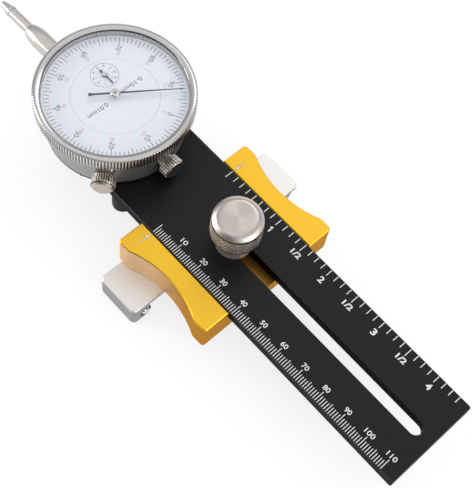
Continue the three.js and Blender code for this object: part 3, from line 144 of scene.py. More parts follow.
def prism(name, points, bottom, top):
    """A closed outline of (x, y) between two heights."""
    count = len(points)
    verts = [(x, y, bottom) for x, y in points] + [(x, y, top) for x, y in points]
    faces = [tuple(range(count)), tuple(range(count, 2 * count))]
    for i in range(count):
        n = (i + 1) % count
        faces.append((i, n, count + n, count + i))
    return made(name, verts, faces)


def bars(name, strips, bottom, top):
    """Many separate flat bars as one mesh. A strip is (x, y, angle, length, width) about its middle."""
    verts, faces = [], []
    for x, y, angle, length, width in strips:
        c, s = math.cos(angle), math.sin(angle)
        start = len(verts)
        for z in (bottom, top):
            for u, v in ((-length, -width), (length, -width), (length, width), (-length, width)):
                verts.append((x + (u * c - v * s) / 2, y + (u * s + v * c) / 2, z))
        for quad in ((0, 1, 2, 3), (4, 5, 6, 7), (0, 1, 5, 4), (1, 2, 6, 5), (2, 3, 7, 6), (3, 0, 4, 7)):
            faces.append(tuple(start + q for q in quad))
    return made(name, verts, faces)


def transform(obj, matrix):
    """Moves a piece's own points, with lengths in millimetres."""
    move = matrix.copy()
    move.translation = matrix.translation * MM
    obj.data.transform(move)
    return obj


def joined(name, objs):
    bpy.ops.object.select_all(action="DESELECT")
    for o in objs:
        o.select_set(True)
    bpy.context.view_layer.objects.active = objs[0]
    bpy.ops.object.join()
    objs[0].name = name
    return objs[0]


def baked(obj):
    """Replaces a piece's mesh by the one that its modifiers give."""
    graph = bpy.context.evaluated_depsgraph_get()
    mesh = bpy.data.meshes.new_from_object(obj.evaluated_get(graph))
    obj.modifiers.clear()
    obj.data = mesh


def bevelled(obj, width, segments=2, smooth=32):
    """Rounds a piece's edges by a width in millimetres."""
    bevel = obj.modifiers.new("edge", "BEVEL")
    bevel.width = width * MM
    bevel.segments = segments
    bevel.limit_method = "ANGLE"
    bevel.angle_limit = math.radians(EDGE_ANGLE)
    bevel.use_clamp_overlap = True
    baked(obj)
    weighed(obj, smooth)


def weighed(obj, smooth):
    """Keeps large flat faces flat beside smooth edges: each point's normal follows its largest faces."""
    shade(obj.data, smooth)
    weigh = obj.modifiers.new("weigh", "WEIGHTED_NORMAL")
    weigh.keep_sharp = True
    baked(obj)


def placed(obj, node_or_body, material, nodes=(), slot=None):
    """Gives a piece its body and its material, and hides the CAD nodes that it stands for; its slot is looked
    up but not given to it.
    """
    body = BODY_OF.get(node_or_body, node_or_body)
    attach(obj, body)
    if nodes:
        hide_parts(*nodes)
        slot = slot or SLOTS[nodes[0]]
    obj.data.materials.clear()
    obj.data.materials.append(material)
    return obj


def dressed(cad_node, material, width, segments=2, smooth=32):
    """A copy of a CAD node with merged points, whole flat faces and rounded edges, in its place."""
    obj = bpy.data.objects.new(cad_node + "_dressed", frame["nodes"][cad_node].data.copy())
    bpy.context.scene.collection.objects.link(obj)
    bm = bmesh.new()
    bm.from_mesh(obj.data)
    bmesh.ops.remove_doubles(bm, verts=bm.verts, dist=1e-6)
    bmesh.ops.dissolve_limit(bm, angle_limit=math.radians(0.5), verts=bm.verts, edges=bm.edges)
    bmesh.ops.recalc_face_normals(bm, faces=bm.faces)
    plain = bpy.data.meshes.new(obj.name)
    bm.to_mesh(plain)
    bm.free()
    obj.data = plain
    if width:
        bevelled(obj, width, segments, smooth=smooth)
    else:
        weighed(obj, smooth)
    placed(obj, cad_node, material, [cad_node])


# Places of turned pieces: about the dial's axis, and lying along the stem's
INDICATOR = Matrix.Translation((DIAL_X, 0, ARM_TOP)) @ Matrix.Rotation(DIAL_YAW, 4, "Z")
ALONG_X = Matrix.Translation((0, 0, STEM_LEVEL)) @ Matrix.Rotation(math.pi / 2, 4, "Y")


# Materials

# Ranges of broad and of fine noise that are used, and of a normal's Z from upright to flat
NOISE_LOW, NOISE_HIGH = 0.35, 0.65
FINE_LOW, FINE_HIGH = 0.3, 0.7
FLAT_LOW, FLAT_HIGH = 0.2, 0.6
# Depth of the grain of metals and black finishes, in millimetres
GRAIN_DEPTH = 0.01


def shader(name, color, rough, metal=0.0, **inputs):
    """A material with one Principled shader, whose plain numbers sit on its own sockets."""
    material = bpy.data.materials.new(name)
    material.use_nodes = True
    tree = material.node_tree
    bsdf = tree.nodes["Principled BSDF"]
    bsdf.inputs["Base Color"].default_value = (*color, 1)
    bsdf.inputs["Roughness"].default_value = rough
    bsdf.inputs["Metallic"].default_value = metal
    for key, value in inputs.items():
        bsdf.inputs[key.replace("_", " ")].default_value = value
    return material, tree, bsdf


def node(tree, kind, **settings):
    """A new shader node, with each setting given to its property or else to its socket."""
    made_node = tree.nodes.new("ShaderNode" + kind)
    for key, value in settings.items():
        if hasattr(made_node, key):
            setattr(made_node, key, value)
        else:
            made_node.inputs[key.replace("_", " ")].default_value = value
    return made_node


def object_point(tree, stretch=(1, 1, 1)):
    """The object's own coordinates in millimetres, stretched along each axis."""
    coordinates = node(tree, "TexCoord")
    scale = node(tree, "Mapping", vector_type="POINT")
    scale.inputs["Scale"].default_value = [s / MM for s in stretch]
    tree.links.new(coordinates.outputs["Object"], scale.inputs["Vector"])
    return scale.outputs["Vector"]


def noise(tree, vector, scale, detail=3.0, rough=0.55):
    texture = node(tree, "TexNoise", Scale=scale, Detail=detail, Roughness=rough)
    tree.links.new(vector, texture.inputs["Vector"])
    return texture.outputs["Fac"]


def ramp(tree, value, low, high, out_low, out_high):
    """Maps a value from low and high to two other numbers, and not past them."""
    scale = node(tree, "MapRange", clamp=True)
    for key, number in (("From Min", low), ("From Max", high), ("To Min", out_low), ("To Max", out_high)):
        scale.inputs[key].default_value = number
    tree.links.new(value, scale.inputs["Value"])
    return scale.outputs["Result"]


def blend(tree, factor, one, two):
    """Mixes two colours by a factor; a colour is a tuple or a socket."""
    mix = node(tree, "Mix", data_type="RGBA", blend_type="MIX")
    for value, index in ((one, 6), (two, 7)):
        if isinstance(value, tuple):
            mix.inputs[index].default_value = (*value, 1)
        else:
            tree.links.new(value, mix.inputs[index])
    tree.links.new(factor, mix.inputs[0])
    return mix.outputs[2]


def product(tree, one, two):
    """Multiplies two sockets."""
    times = node(tree, "Math", operation="MULTIPLY")
    tree.links.new(one, times.inputs[0])
    tree.links.new(two, times.inputs[1])
    return times.outputs[0]


def parts(tree, vector):
    """Splits a vector into its X, Y and Z sockets."""
    split = node(tree, "SeparateXYZ")
    tree.links.new(vector, split.inputs[0])
    return split.outputs


def bump(tree, bsdf, height, strength, distance):
    """Relief of a depth in millimetres."""
    relief = node(tree, "Bump", Strength=strength, Distance=distance * MM)
    tree.links.new(height, relief.inputs["Height"])
    tree.links.new(relief.outputs["Normal"], bsdf.inputs["Normal"])


def metal(name, color, rough, grain, scale, stretch=(1, 1, 1), tint=0.12, relief=0.25, level=1.0):
    """A metal with fine grain in its roughness, colour and relief."""
    material, tree, bsdf = shader(name, color, rough, level)
    point = object_point(tree, stretch)
    fine = noise(tree, point, scale)
    broad = noise(tree, point, scale * 0.08, 2.0)
    dark = tuple(c * (1 - tint) for c in color)
    tree.links.new(blend(tree, ramp(tree, broad, NOISE_LOW, NOISE_HIGH, 0, 1), dark, color),
                   bsdf.inputs["Base Color"])
    tree.links.new(ramp(tree, fine, FINE_LOW, FINE_HIGH, rough - grain, rough + grain),
                   bsdf.inputs["Roughness"])
    bump(tree, bsdf, fine, relief, GRAIN_DEPTH)
    return material


# Where a paler colour is painted as reflection: from full to none along X, and by how far a face looks
# towards -Y
REFLECTION_FULL_X, REFLECTION_NONE_X = 9, 26
REFLECTION_FULL_Y, REFLECTION_NONE_Y = -0.7, -0.3
REFLECTION_METAL = 0.6
SIDE_LIFT = 1.15


def machined(name, top, side, level, low, high, floor=-1.0, reflection_paint=None, **inputs):
    """A metal bead blasted on top, with milled streaks on faces that don't look up, which are painted darker
    as shade.

    A floor is the level in millimetres up to which flat faces also take the darker side colour, as painted
    shade in the channel.
    A paler colour is painted as reflection on the near sides towards -X, which are made less metallic there.
    Low and high are the ends of its roughness.
    """
    material, tree, bsdf = shader(name, top, (low + high) / 2, level, **inputs)
    point = object_point(tree)
    fine = noise(tree, point, 14.0)
    mill = noise(tree, object_point(tree, (1, 1, 0.04)), 5.0)
    facing = parts(tree, node(tree, "TexCoord").outputs["Normal"])
    place = parts(tree, point)
    flat = product(tree, ramp(tree, facing["Z"], FLAT_LOW, FLAT_HIGH, 0, 1),
                   ramp(tree, place["Z"], floor, floor + 0.5, 0, 1))
    # Faces that don't look up take the darker side colour as painted shade, with milled streaks
    side_shade_colour = blend(tree, ramp(tree, mill, NOISE_LOW, NOISE_HIGH, 0, 1), side,
                  tuple(c * SIDE_LIFT for c in side))
    # A paler colour painted as reflection on near faces towards -X and -Y, with less metal there
    if reflection_paint:
        near = product(tree, ramp(tree, place["X"], REFLECTION_FULL_X, REFLECTION_NONE_X, 1, 0),
                       ramp(tree, facing["Y"], REFLECTION_FULL_Y, REFLECTION_NONE_Y, 1, 0))
        side_shade_colour = blend(tree, near, side_shade_colour, reflection_paint)
        reflection_upright = product(tree, near, ramp(tree, facing["Z"], FLAT_LOW, FLAT_HIGH, 1, 0))
        tree.links.new(ramp(tree, reflection_upright, 0, 1, level, level * REFLECTION_METAL), bsdf.inputs["Metallic"])
    tree.links.new(blend(tree, flat, side_shade_colour, top), bsdf.inputs["Base Color"])
    tree.links.new(ramp(tree, fine, FINE_LOW, FINE_HIGH, low, high), bsdf.inputs["Roughness"])
    bump(tree, bsdf, fine, 0.35, GRAIN_DEPTH)
    return material


# Gold and bar: the second colour is the darker side colour painted as shade; gold's last colour is a paler
# painted reflection
gold = machined("gold_anodised_satin", (0.90, 0.54, 0.045), (0.46, 0.22, 0.04), 0.9, 0.36, 0.46,
                CHANNEL_FLOOR, (0.96, 0.66, 0.40), Specular_Tint=(0.95, 0.68, 0.35, 1))
aluminium = machined("bar_aluminium_matt", (0.85, 0.84, 0.82), (0.32, 0.32, 0.31), 0.85, 0.42, 0.52)
nickel = metal("nickel_warm", (0.66, 0.60, 0.55), 0.26, 0.04, 16.0, tint=0.05, relief=0.06)
stem_nickel = metal("stem_nickel_satin", (0.62, 0.58, 0.54), 0.3, 0.04, 10.0, (4, 0.6, 0.6), 0.05,
                    0.06)
chrome = metal("bezel_bright_chrome", (0.58, 0.57, 0.56), 0.2, 0.03, 3.0, tint=0.04, relief=0.05)
case_satin = metal("case_satin_silver", (0.38, 0.385, 0.375), 0.4, 0.05, 12.0, tint=0.04, level=0.8)
steel = metal("bright_steel", (0.70, 0.69, 0.68), 0.22, 0.04, 14.0, relief=0.06)
oxide = metal("black_oxide_steel", (0.05, 0.05, 0.055), 0.4, 0.08, 8.0, level=0.6)
brass = metal("movement_brass", (0.72, 0.52, 0.22), 0.3, 0.06, 5.0)


def furrowed(name, color, valley_shade, rough, place, low, high):
    """A metal with painted shade in the valleys of a knurl: darker the nearer a point lies to an axis.

    The place holds the axis as its local Z, with lengths in millimetres; low and high are radii.
    """
    material, tree, bsdf = shader(name, color, rough, 1.0)
    point = object_point(tree)
    local = node(tree, "Mapping", vector_type="TEXTURE")
    local.inputs["Location"].default_value = place.translation
    local.inputs["Rotation"].default_value = place.to_euler()
    tree.links.new(point, local.inputs["Vector"])
    across = node(tree, "VectorMath", operation="MULTIPLY")
    across.inputs[1].default_value = (1, 1, 0)
    tree.links.new(local.outputs["Vector"], across.inputs[0])
    reach = node(tree, "VectorMath", operation="LENGTH")
    tree.links.new(across.outputs["Vector"], reach.inputs[0])
    fine = noise(tree, point, 12.0)
    tree.links.new(blend(tree, ramp(tree, reach.outputs["Value"], low, high, 0, 1), valley_shade, color),
                   bsdf.inputs["Base Color"])
    tree.links.new(ramp(tree, fine, FINE_LOW, FINE_HIGH, rough - 0.04, rough + 0.04),
                   bsdf.inputs["Roughness"])
    bump(tree, bsdf, fine, 0.06, GRAIN_DEPTH)
    return material


# Noise from which a speck is dim and bright, and the distance from y 0 where the painted shade on the slot's
# walls ends
SPECK_DIM, SPECK_BRIGHT = 0.705, 0.725
WALL_SHADE_FULL, WALL_SHADE_NONE = 8, 9


def speckled(name, color, rough, light, share=0.003, edge=None, inner=None, **inputs):
    """A dark finish with fine grain and rare light specks; a share makes them more.

    An edge is a lighter colour painted as highlight on its rounded, slanted edges, and inner a near-black
    colour painted as shade on the slot's long walls.
    """
    material, tree, bsdf = shader(name, color, rough, **inputs)
    point = object_point(tree)
    fine = noise(tree, point, 9.0)
    specks = noise(tree, point, 3.2, 4.0, 0.7)
    cover = blend(tree, ramp(tree, specks, SPECK_DIM - share, SPECK_BRIGHT, 0, 1), color, light)
    if edge:
        # A lighter colour painted as highlight on the slanted faces of the rounded edges
        facing = parts(tree, node(tree, "TexCoord").outputs["Normal"])
        edge_highlight_mask = product(tree, ramp(tree, facing["Z"], 0.2, 0.5, 0, 1),
                          ramp(tree, facing["Z"], 0.8, 0.97, 1, 0))
        cover = blend(tree, edge_highlight_mask, cover, edge)
        # A near-black colour painted as shade on the slot's long walls near y 0
        place = parts(tree, point)
        off = node(tree, "Math", operation="ABSOLUTE")
        tree.links.new(place["Y"], off.inputs[0])
        across = node(tree, "Math", operation="ABSOLUTE")
        tree.links.new(facing["Y"], across.inputs[0])
        wall_shade_mask = product(tree, ramp(tree, off.outputs[0], WALL_SHADE_FULL, WALL_SHADE_NONE, 1, 0),
                        ramp(tree, across.outputs[0], 0.5, 0.8, 0, 1))
        cover = blend(tree, wall_shade_mask, cover, inner)
    tree.links.new(cover, bsdf.inputs["Base Color"])
    tree.links.new(ramp(tree, fine, FINE_LOW, FINE_HIGH, rough - 0.05, rough + 0.07),
                   bsdf.inputs["Roughness"])
    bump(tree, bsdf, fine, 0.3, GRAIN_DEPTH)
    return material


# The arm's edge colour is a painted highlight on its rounded edges, and its last colour painted shade on the
# slot's walls
arm_black = speckled("arm_satin_black", (0.026, 0.026, 0.027), 0.45, (0.4, 0.4, 0.4), 0.0,
                     (0.13, 0.125, 0.12), (0.002, 0.002, 0.002), Metallic=1.0,
                     Specular_Tint=(0.55, 0.55, 0.56, 1))
plastic_black = speckled("cover_black_plastic", (0.012, 0.012, 0.013), 0.45, (0.03, 0.03, 0.03))
rubber = speckled("foot_black_rubber", (0.012, 0.012, 0.012), 0.75, (0.02, 0.02, 0.02))


def inked(name, color, rough=0.45, patch=0.1):
    """Paint or ink with uneven cover: a patch is the share of its colour lost where it is thin."""
    material, tree, bsdf = shader(name, color, rough)
    point = object_point(tree)
    cover = noise(tree, point, 3.5, 3.0)
    thin = tuple(c * (1 - patch) for c in color)
    tree.links.new(blend(tree, ramp(tree, cover, NOISE_LOW, NOISE_HIGH, 0, 1), thin, color),
                   bsdf.inputs["Base Color"])
    bump(tree, bsdf, cover, 0.15, 0.005)
    return material


scale_white = inked("scale_white_paint", (0.88, 0.88, 0.87), patch=0.15)
arrow_white = inked("arrow_pale_paint", (0.86, 0.72, 0.58), patch=0.12)
dial_face = inked("dial_white_enamel", (0.86, 0.91, 0.985), 0.4, 0.015)
ink_grey = inked("dial_ink_grey", (0.16, 0.17, 0.19), 0.5)
ink_black = inked("dial_ink_black", (0.04, 0.04, 0.045), 0.5)
ink_red = inked("dial_ink_red", (0.78, 0.42, 0.45), 0.5)
hand_black = inked("hand_black_lacquer", (0.035, 0.04, 0.05), 0.35)


def glass():
    """Clear crystal: a mirror that is see-through except for Schlick's share of reflection."""
    material, tree, bsdf = shader("crystal_clear_glass", (1, 1, 1), 0.03, 1.0)
    grazing = node(tree, "LayerWeight", Blend=0.5)
    steep = node(tree, "Math", operation="POWER")
    steep.inputs[1].default_value = 5
    tree.links.new(grazing.outputs["Facing"], steep.inputs[0])
    tree.links.new(ramp(tree, steep.outputs[0], 0, 1, 0.03, 1), bsdf.inputs["Alpha"])
    smudge = noise(tree, object_point(tree), 0.25, 3.0)
    tree.links.new(ramp(tree, smudge, FINE_LOW, FINE_HIGH, 0.02, 0.05), bsdf.inputs["Roughness"])
    return material


crystal_glass = glass()


def turned_top():
    """The knob's turned top: fine rings and a sheen that runs round its centre."""
    material, tree, bsdf = shader("knob_turned_nickel", (0.58, 0.53, 0.50), 0.38, 1.0, Anisotropic=0.75)
    tangent = node(tree, "Tangent", direction_type="RADIAL", axis="Z")
    tree.links.new(tangent.outputs["Tangent"], bsdf.inputs["Tangent"])
    shift = node(tree, "Mapping", vector_type="POINT")
    shift.inputs["Location"].default_value = (-CLAMP_X, 0, 0)
    tree.links.new(object_point(tree), shift.inputs["Vector"])
    rings = node(tree, "TexWave", wave_type="RINGS", rings_direction="Z", Scale=1.6, Distortion=0.4)
    tree.links.new(shift.outputs["Vector"], rings.inputs["Vector"])
    tree.links.new(ramp(tree, rings.outputs["Fac"], 0, 1, 0.34, 0.44), bsdf.inputs["Roughness"])
    bump(tree, bsdf, rings.outputs["Fac"], 0.15, 0.003)
    return material


knob_top = turned_top()


# Base, bar and arm

dressed("base_body", gold, 0, smooth=15)
dressed("miter_bar", aluminium, 0.45, segments=3)
dressed("scale_arm", arm_black, 0.14)
for name in ("plunger_body_near", "plunger_body_far", "bar_screw_1", "bar_screw_2", "foot_screw_near",
             "foot_screw_far", "mount_screw_1", "mount_screw_2", "mount_screw_3"):
    dressed(name, oxide, 0.08)
for name in ("support_foot_near", "support_foot_far"):
    dressed(name, rubber, 0.25)
dressed("clamp_washer", steel, 0.08)
dressed("clamp_screw", steel, 0.1)

BALL_RADIUS = 1.75
BALL_STEPS = 24
for label in ("near", "far"):
    low, high = (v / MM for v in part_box("plunger_ball_" + label))
    middle = (low + high) / 2
    arc = [polar(BALL_RADIUS, math.pi * (i / BALL_STEPS - 0.5)) for i in range(BALL_STEPS + 1)]
    arc[0], arc[-1] = (0, -BALL_RADIUS), (0, BALL_RADIUS)
    ball = lathe("plunger_ball_bright_" + label, arc, 48, smooth=60)
    transform(ball, Matrix.Translation(middle))
    placed(ball, "plunger_ball_" + label, steel, ["plunger_ball_" + label])

# Arrows painted in the base's two recesses, drawn a little smaller to clear the walls
ARROW = [(-0.24, 0), (-0.24, 2.7), (-0.85, 2.7), (0, 4.8), (0.85, 2.7), (0.24, 2.7), (0.24, 0)]
ARROW_TAIL = 24.4
ARROW_FLOOR = BASE_TOP - 0.25
ARROW_PAINT = 0.2
ARROW_THIN, ARROW_SHORT, ARROW_GAP = 0.94, 0.98, 0.03
for label, side in (("near", -1), ("far", 1)):
    points = [(x * ARROW_THIN, side * (ARROW_TAIL - y * ARROW_SHORT - ARROW_GAP)) for x, y in ARROW]
    arrow = prism("arrow_paint_" + label, points, ARROW_FLOOR - PAINT_ROOT, ARROW_FLOOR + ARROW_PAINT)
    placed(arrow, "base", arrow_white, slot="gold_anodised")

# Scales on the arm: where a mark's outer and inner ends lie across it, the inner end by its step
TICK_OUTER = 18.58
MM_INNER = {10: -14.35, 5: -15.08, 1: -15.69}
MM_WIDTH = 0.26
INCH = 25.4
INCH_INNER = {8: 15.65, 4: 15.1, 1: 16.05}
INCH_ZERO_INNER = 15.2
INCH_WIDTH = 0.3
ARM_PRINT = (ARM_TOP - PAINT_ROOT, ARM_TOP + PAINT)


def across_arm(x, outer, inner, width):
    """A strip for bars() that crosses the arm's length."""
    return x, (outer + inner) / 2, math.pi / 2, abs(outer - inner), width


ticks = []
for x in range(111):
    step = 10 if x % 10 == 0 else 5 if x % 5 == 0 else 1
    ticks.append(across_arm(x, -TICK_OUTER, MM_INNER[step], MM_WIDTH))
placed(bars("scale_ticks_mm", ticks, *ARM_PRINT), "arm", scale_white, slot="black_anodised")
ticks = []
for eighth in range(36):
    step = 8 if eighth % 8 == 0 else 4 if eighth % 4 == 0 else 1
    inner = INCH_INNER[step] if eighth else INCH_ZERO_INNER
    ticks.append(across_arm(eighth * INCH / 8, TICK_OUTER, inner, INCH_WIDTH))
placed(bars("scale_ticks_inch", ticks, *ARM_PRINT), "arm", scale_white, slot="black_anodised")


def lettered(name, words, material, body, slot, levels):
    """Printed words between two levels.

    A word is (text, x, y, angle, cap height, width or None, weight) about its middle.
    """
    objs = []
    for text, x, y, angle, height, width, weight in words:
        curve = bpy.data.curves.new(name, "FONT")
        curve.body = text
        curve.align_x, curve.align_y = "CENTER", "CENTER"
        curve.offset = weight
        curve.resolution_u = 3
        curve.extrude = 0.5
        obj = bpy.data.objects.new(name, curve)
        bpy.context.scene.collection.objects.link(obj)
        graph = bpy.context.evaluated_depsgraph_get()
        mesh = bpy.data.meshes.new_from_object(obj.evaluated_get(graph))
        bpy.data.objects.remove(obj)
        low = [min(v.co[k] for v in mesh.vertices) for k in range(3)]
        high = [max(v.co[k] for v in mesh.vertices) for k in range(3)]
        tall = height / (high[1] - low[1])
        wide = width / (high[0] - low[0]) if width else tall
        c, s = math.cos(angle), math.sin(angle)
        for v in mesh.vertices:
            u = (v.co.x - (low[0] + high[0]) / 2) * wide
            w = (v.co.y - (low[1] + high[1]) / 2) * tall
            z = levels[1 if v.co.z > 0 else 0]
            v.co = Vector((x + u * c - w * s, y + u * s + w * c, z)) * MM
        piece = bpy.data.objects.new(name, mesh)
        bpy.context.scene.collection.objects.link(piece)
        objs.append(piece)
    result = joined(name, objs)
    bm = bmesh.new()
    bm.from_mesh(result.data)
    bmesh.ops.remove_doubles(bm, verts=bm.verts, dist=1e-7)
    bmesh.ops.recalc_face_normals(bm, faces=bm.faces)
    bm.to_mesh(result.data)
    bm.free()
    return placed(result, body, material, slot=slot)


# Numbers of the scales: middles across the arm, cap heights, widths and weights
MM_NUMBER_Y, MM_NUMBER_SHIFT = -12.9, 0.1
MM_NUMBER_HEIGHT, MM_TWO_WIDE, MM_THREE_WIDE, MM_WEIGHT = 1.9, 2.65, 4.0, 0.012
INCH_NUMBER_Y = {1: 13.2, 2: 13.25, 3: 13.3, 4: 13.35}
INCH_NUMBER_HEIGHT, INCH_NUMBER_WIDE, INCH_WEIGHT = 2.6, 1.9, 0.03
HALF_Y, HALF_HEIGHT, HALF_WIDE = 13.4, 2.2, 4.0

words = []
for n in range(10, 111, 10):
    width = MM_TWO_WIDE if n < 100 else MM_THREE_WIDE
    words.append((str(n), n - MM_NUMBER_SHIFT, MM_NUMBER_Y, 0, MM_NUMBER_HEIGHT, width, MM_WEIGHT))
for whole in (2, 3, 4):
    words.append((str(whole), whole * INCH, INCH_NUMBER_Y[whole], 0, INCH_NUMBER_HEIGHT, INCH_NUMBER_WIDE,
                  INCH_WEIGHT))
for half in (1.5, 2.5, 3.5):
    words.append(("1/2", half * INCH, HALF_Y, 0, HALF_HEIGHT, HALF_WIDE, INCH_WEIGHT))
# The inch scale's 1, drawn as the photograph shows it
ONE = [(-0.08, -1.3), (0.42, -1.3), (0.42, 1.3), (0.02, 1.3), (-0.62, 0.8), (-0.62, 0.3), (-0.08, 0.68)]
one = prism("scale_number_one", [(INCH + x, INCH_NUMBER_Y[1] + y) for x, y in ONE], *ARM_PRINT)
placed(one, "arm", scale_white, slot="black_anodised")
lettered("scale_numbers", words, scale_white, "arm", "black_anodised", ARM_PRINT)


# Clamp knob: plain collar, diamond knurl, rounded shoulder and turned top

KNOB_RADIUS = 9.0
KNURL_AROUND = 52
KNURL_ROWS = 10
KNURL_DEPTH = 0.34
KNURL_LOW, KNURL_HIGH = 8.3, 16.9
# How far inside the knurl's radius its painted valley shade is darkest and where it ends
KNURL_DARK, KNURL_BRIGHT = 0.09, 0.02
# Its collar and shoulder as (radius, height) above the arm, and the hollow under its foot
COLLAR = [(5.7, 0.1), (6.5, 0.1), (6.6, 0.2), (6.6, 7.4), (6.7, 7.5), (8.0, 7.5), (8.2, 7.55), (8.75, 8.1)]
HOLLOW_RADIUS, HOLLOW_TOP = 5.7, 1.05
SHOULDER = [(8.82, 17.12), (8.5, 17.5), (8.1, 17.92), (7.75, 18.24), (7.4, 18.52), (7.0, 18.78), (6.5, 19.0),
            (5.9, 19.13), (5.2, 19.18), (4.2, 19.2)]
TOP_LEVEL = 19.2
# Between rows of points, so that a face is on one side or the other
ROW_GAP = 0.01

collar_satin = metal("collar_satin_nickel", (0.60, 0.54, 0.49), 0.42, 0.05, 10.0, tint=0.05, relief=0.1,
                     level=0.7)
knob_nickel = furrowed("knob_knurled_nickel", (0.92, 0.86, 0.80), (0.06, 0.042, 0.03), 0.34,
                       Matrix.Translation((CLAMP_X, 0, 0)), KNOB_RADIUS - KNURL_DARK,
                       KNOB_RADIUS - KNURL_BRIGHT)


def knob():
    """The whole knob: rows of points from its foot up, every second point of the knurl cut in."""
    columns = 2 * KNURL_AROUND
    rows = list(COLLAR)
    plain = len(rows)
    for j in range(KNURL_ROWS + 1):
        rows.append((KNOB_RADIUS, KNURL_LOW + (KNURL_HIGH - KNURL_LOW) * j / KNURL_ROWS))
    rows += SHOULDER
    verts = []
    for j, (radius, height) in enumerate(rows):
        row = j - plain
        for i in range(columns):
            cut = 0
            if 0 < row < KNURL_ROWS and (i + row) % 2:
                cut = KNURL_DEPTH
            elif row in (0, KNURL_ROWS):
                cut = KNURL_DEPTH * 0.5
            x, y = polar(radius - cut, 2 * math.pi * i / columns)
            verts.append((x, y, height))
    faces = []
    for j in range(len(rows) - 1):
        row = j - plain
        for i in range(columns):
            n = (i + 1) % columns
            a, b, c, d = j * columns + i, j * columns + n, (j + 1) * columns + n, (j + 1) * columns + i
            if 0 <= row < KNURL_ROWS:
                if (i + row) % 2 == 0:
                    faces += [(a, b, c), (a, c, d)]
                else:
                    faces += [(a, b, d), (b, c, d)]
            else:
                faces.append((a, b, c, d))
    first, last = len(verts), len(verts) + 1
    verts += [(0, 0, HOLLOW_TOP), (0, 0, TOP_LEVEL)]
    under = [len(verts) + i for i in range(columns)]
    verts += [(*polar(HOLLOW_RADIUS, 2 * math.pi * i / columns), HOLLOW_TOP) for i in range(columns)]
    top_row = (len(rows) - 1) * columns
    for i in range(columns):
        n = (i + 1) % columns
        faces.append((under[i], under[n], n, i))
        faces.append((under[i], under[n], first))
        faces.append((top_row + i, top_row + n, last))
    obj = made("clamp_knob_knurled", verts, faces, 26)
    transform(obj, Matrix.Translation((CLAMP_X, 0, ARM_TOP)))
    placed(obj, "clamp", knob_nickel, ["clamp_knob"])
    obj.data.materials.append(knob_top)
    obj.data.materials.append(collar_satin)
    knurl_end = (ARM_TOP + KNURL_HIGH - ROW_GAP) * MM
    knurl_start = (ARM_TOP + KNURL_LOW + ROW_GAP) * MM
    for polygon in obj.data.polygons:
        if all(obj.data.vertices[v].co.z > knurl_end for v in polygon.vertices):
            polygon.material_index = 1
        elif all(obj.data.vertices[v].co.z < knurl_start for v in polygon.vertices):
            polygon.material_index = 2


knob()


# Indicator: case, cover, bezel, crystal and dials

dressed("indicator_case", case_satin, 0.15)
dressed("back_cover", plastic_black, 0.12)
for n in range(1, 5):
    dressed("cover_screw_%d" % n, oxide, 0)
dressed("graduated_ring", dial_face, 0)
dressed("centre_dial", dial_face, 0)

BEZEL_RIBS = 160
RIB_STEPS = 4
RIB_DEPTH = 0.3
BEZEL_PROFILE = [
    (24.5, 14.9), (27.9, 14.9), (28.3, 15.1), (28.6, 15.4), (28.6, 19.9), (28.5, 20.18), (28.35, 20.28),
    (27.45, 20.7), (27.2, 20.75), (27.0, 20.7), (25.85, 20.2), (25.8, 20.14), (26.45, 20.13), (26.45, 19.4),
    (25.7, 19.4), (25.7, 16.6), (24.5, 16.6)]
# The share of the ribs' depth at some of its points, the rows of faces between the fully ribbed ones,
# and the radii where the painted shade in their valleys is darkest and where it ends
RIBBED = {3: 1.0, 4: 1.0, 5: 0.6}
RIBBED_ROWS = (3, 4)
RIB_DARK, RIB_BRIGHT = 28.36, 28.56


def bezel_rib(index, column):
    share = RIBBED.get(index, 0)
    phase = (column % RIB_STEPS) / RIB_STEPS
    return -share * RIB_DEPTH * (0.5 - 0.5 * math.cos(2 * math.pi * phase))


bezel = lathe("bezel_knurled", BEZEL_PROFILE, BEZEL_RIBS * RIB_STEPS, True, bezel_rib, 50)
bezel_chrome = furrowed("bezel_chrome", (0.78, 0.76, 0.74), (0.09, 0.085, 0.08), 0.34, INDICATOR,
                        RIB_DARK, RIB_BRIGHT)
placed(transform(bezel, INDICATOR), "bezel", bezel_chrome, ["bezel"])
banded(bezel, BEZEL_RIBS * RIB_STEPS, RIBBED_ROWS, chrome)

CRYSTAL_RADIUS = 26.4
CRYSTAL_UNDER, CRYSTAL_EDGE, CRYSTAL_RISE = 19.4, 20.1, 0.2
CRYSTAL_STEPS = 8
crystal_profile = [(0, CRYSTAL_UNDER), (CRYSTAL_RADIUS, CRYSTAL_UNDER), (CRYSTAL_RADIUS, CRYSTAL_EDGE)]
for i in range(CRYSTAL_STEPS - 1, -1, -1):
    crystal_profile.append((CRYSTAL_RADIUS * i / CRYSTAL_STEPS,
                            CRYSTAL_EDGE + CRYSTAL_RISE * (1 - (i / CRYSTAL_STEPS) ** 2)))
crystal = lathe("crystal_dome", crystal_profile, 128)
placed(transform(crystal, INDICATOR), "bezel", crystal_glass, ["crystal"])

# Print on the graduated ring, about the dial's centre
DIAL_ZERO = math.radians(28.6) - DIAL_YAW
RING_OUTER = 24.75
RING_INNER = {10: 21.3, 5: 21.7, 1: 22.8}
RING_WIDTH = 0.2
DIGIT_RADIUS, DIGIT_HEIGHT = 20.2, 1.85
RED_RADIUS, RED_HEIGHT = 18.0, 1.4
DIGIT_WEIGHT = -0.008
DIAL_PRINT = (DIAL_LEVEL - PAINT_ROOT, DIAL_LEVEL + PAINT)

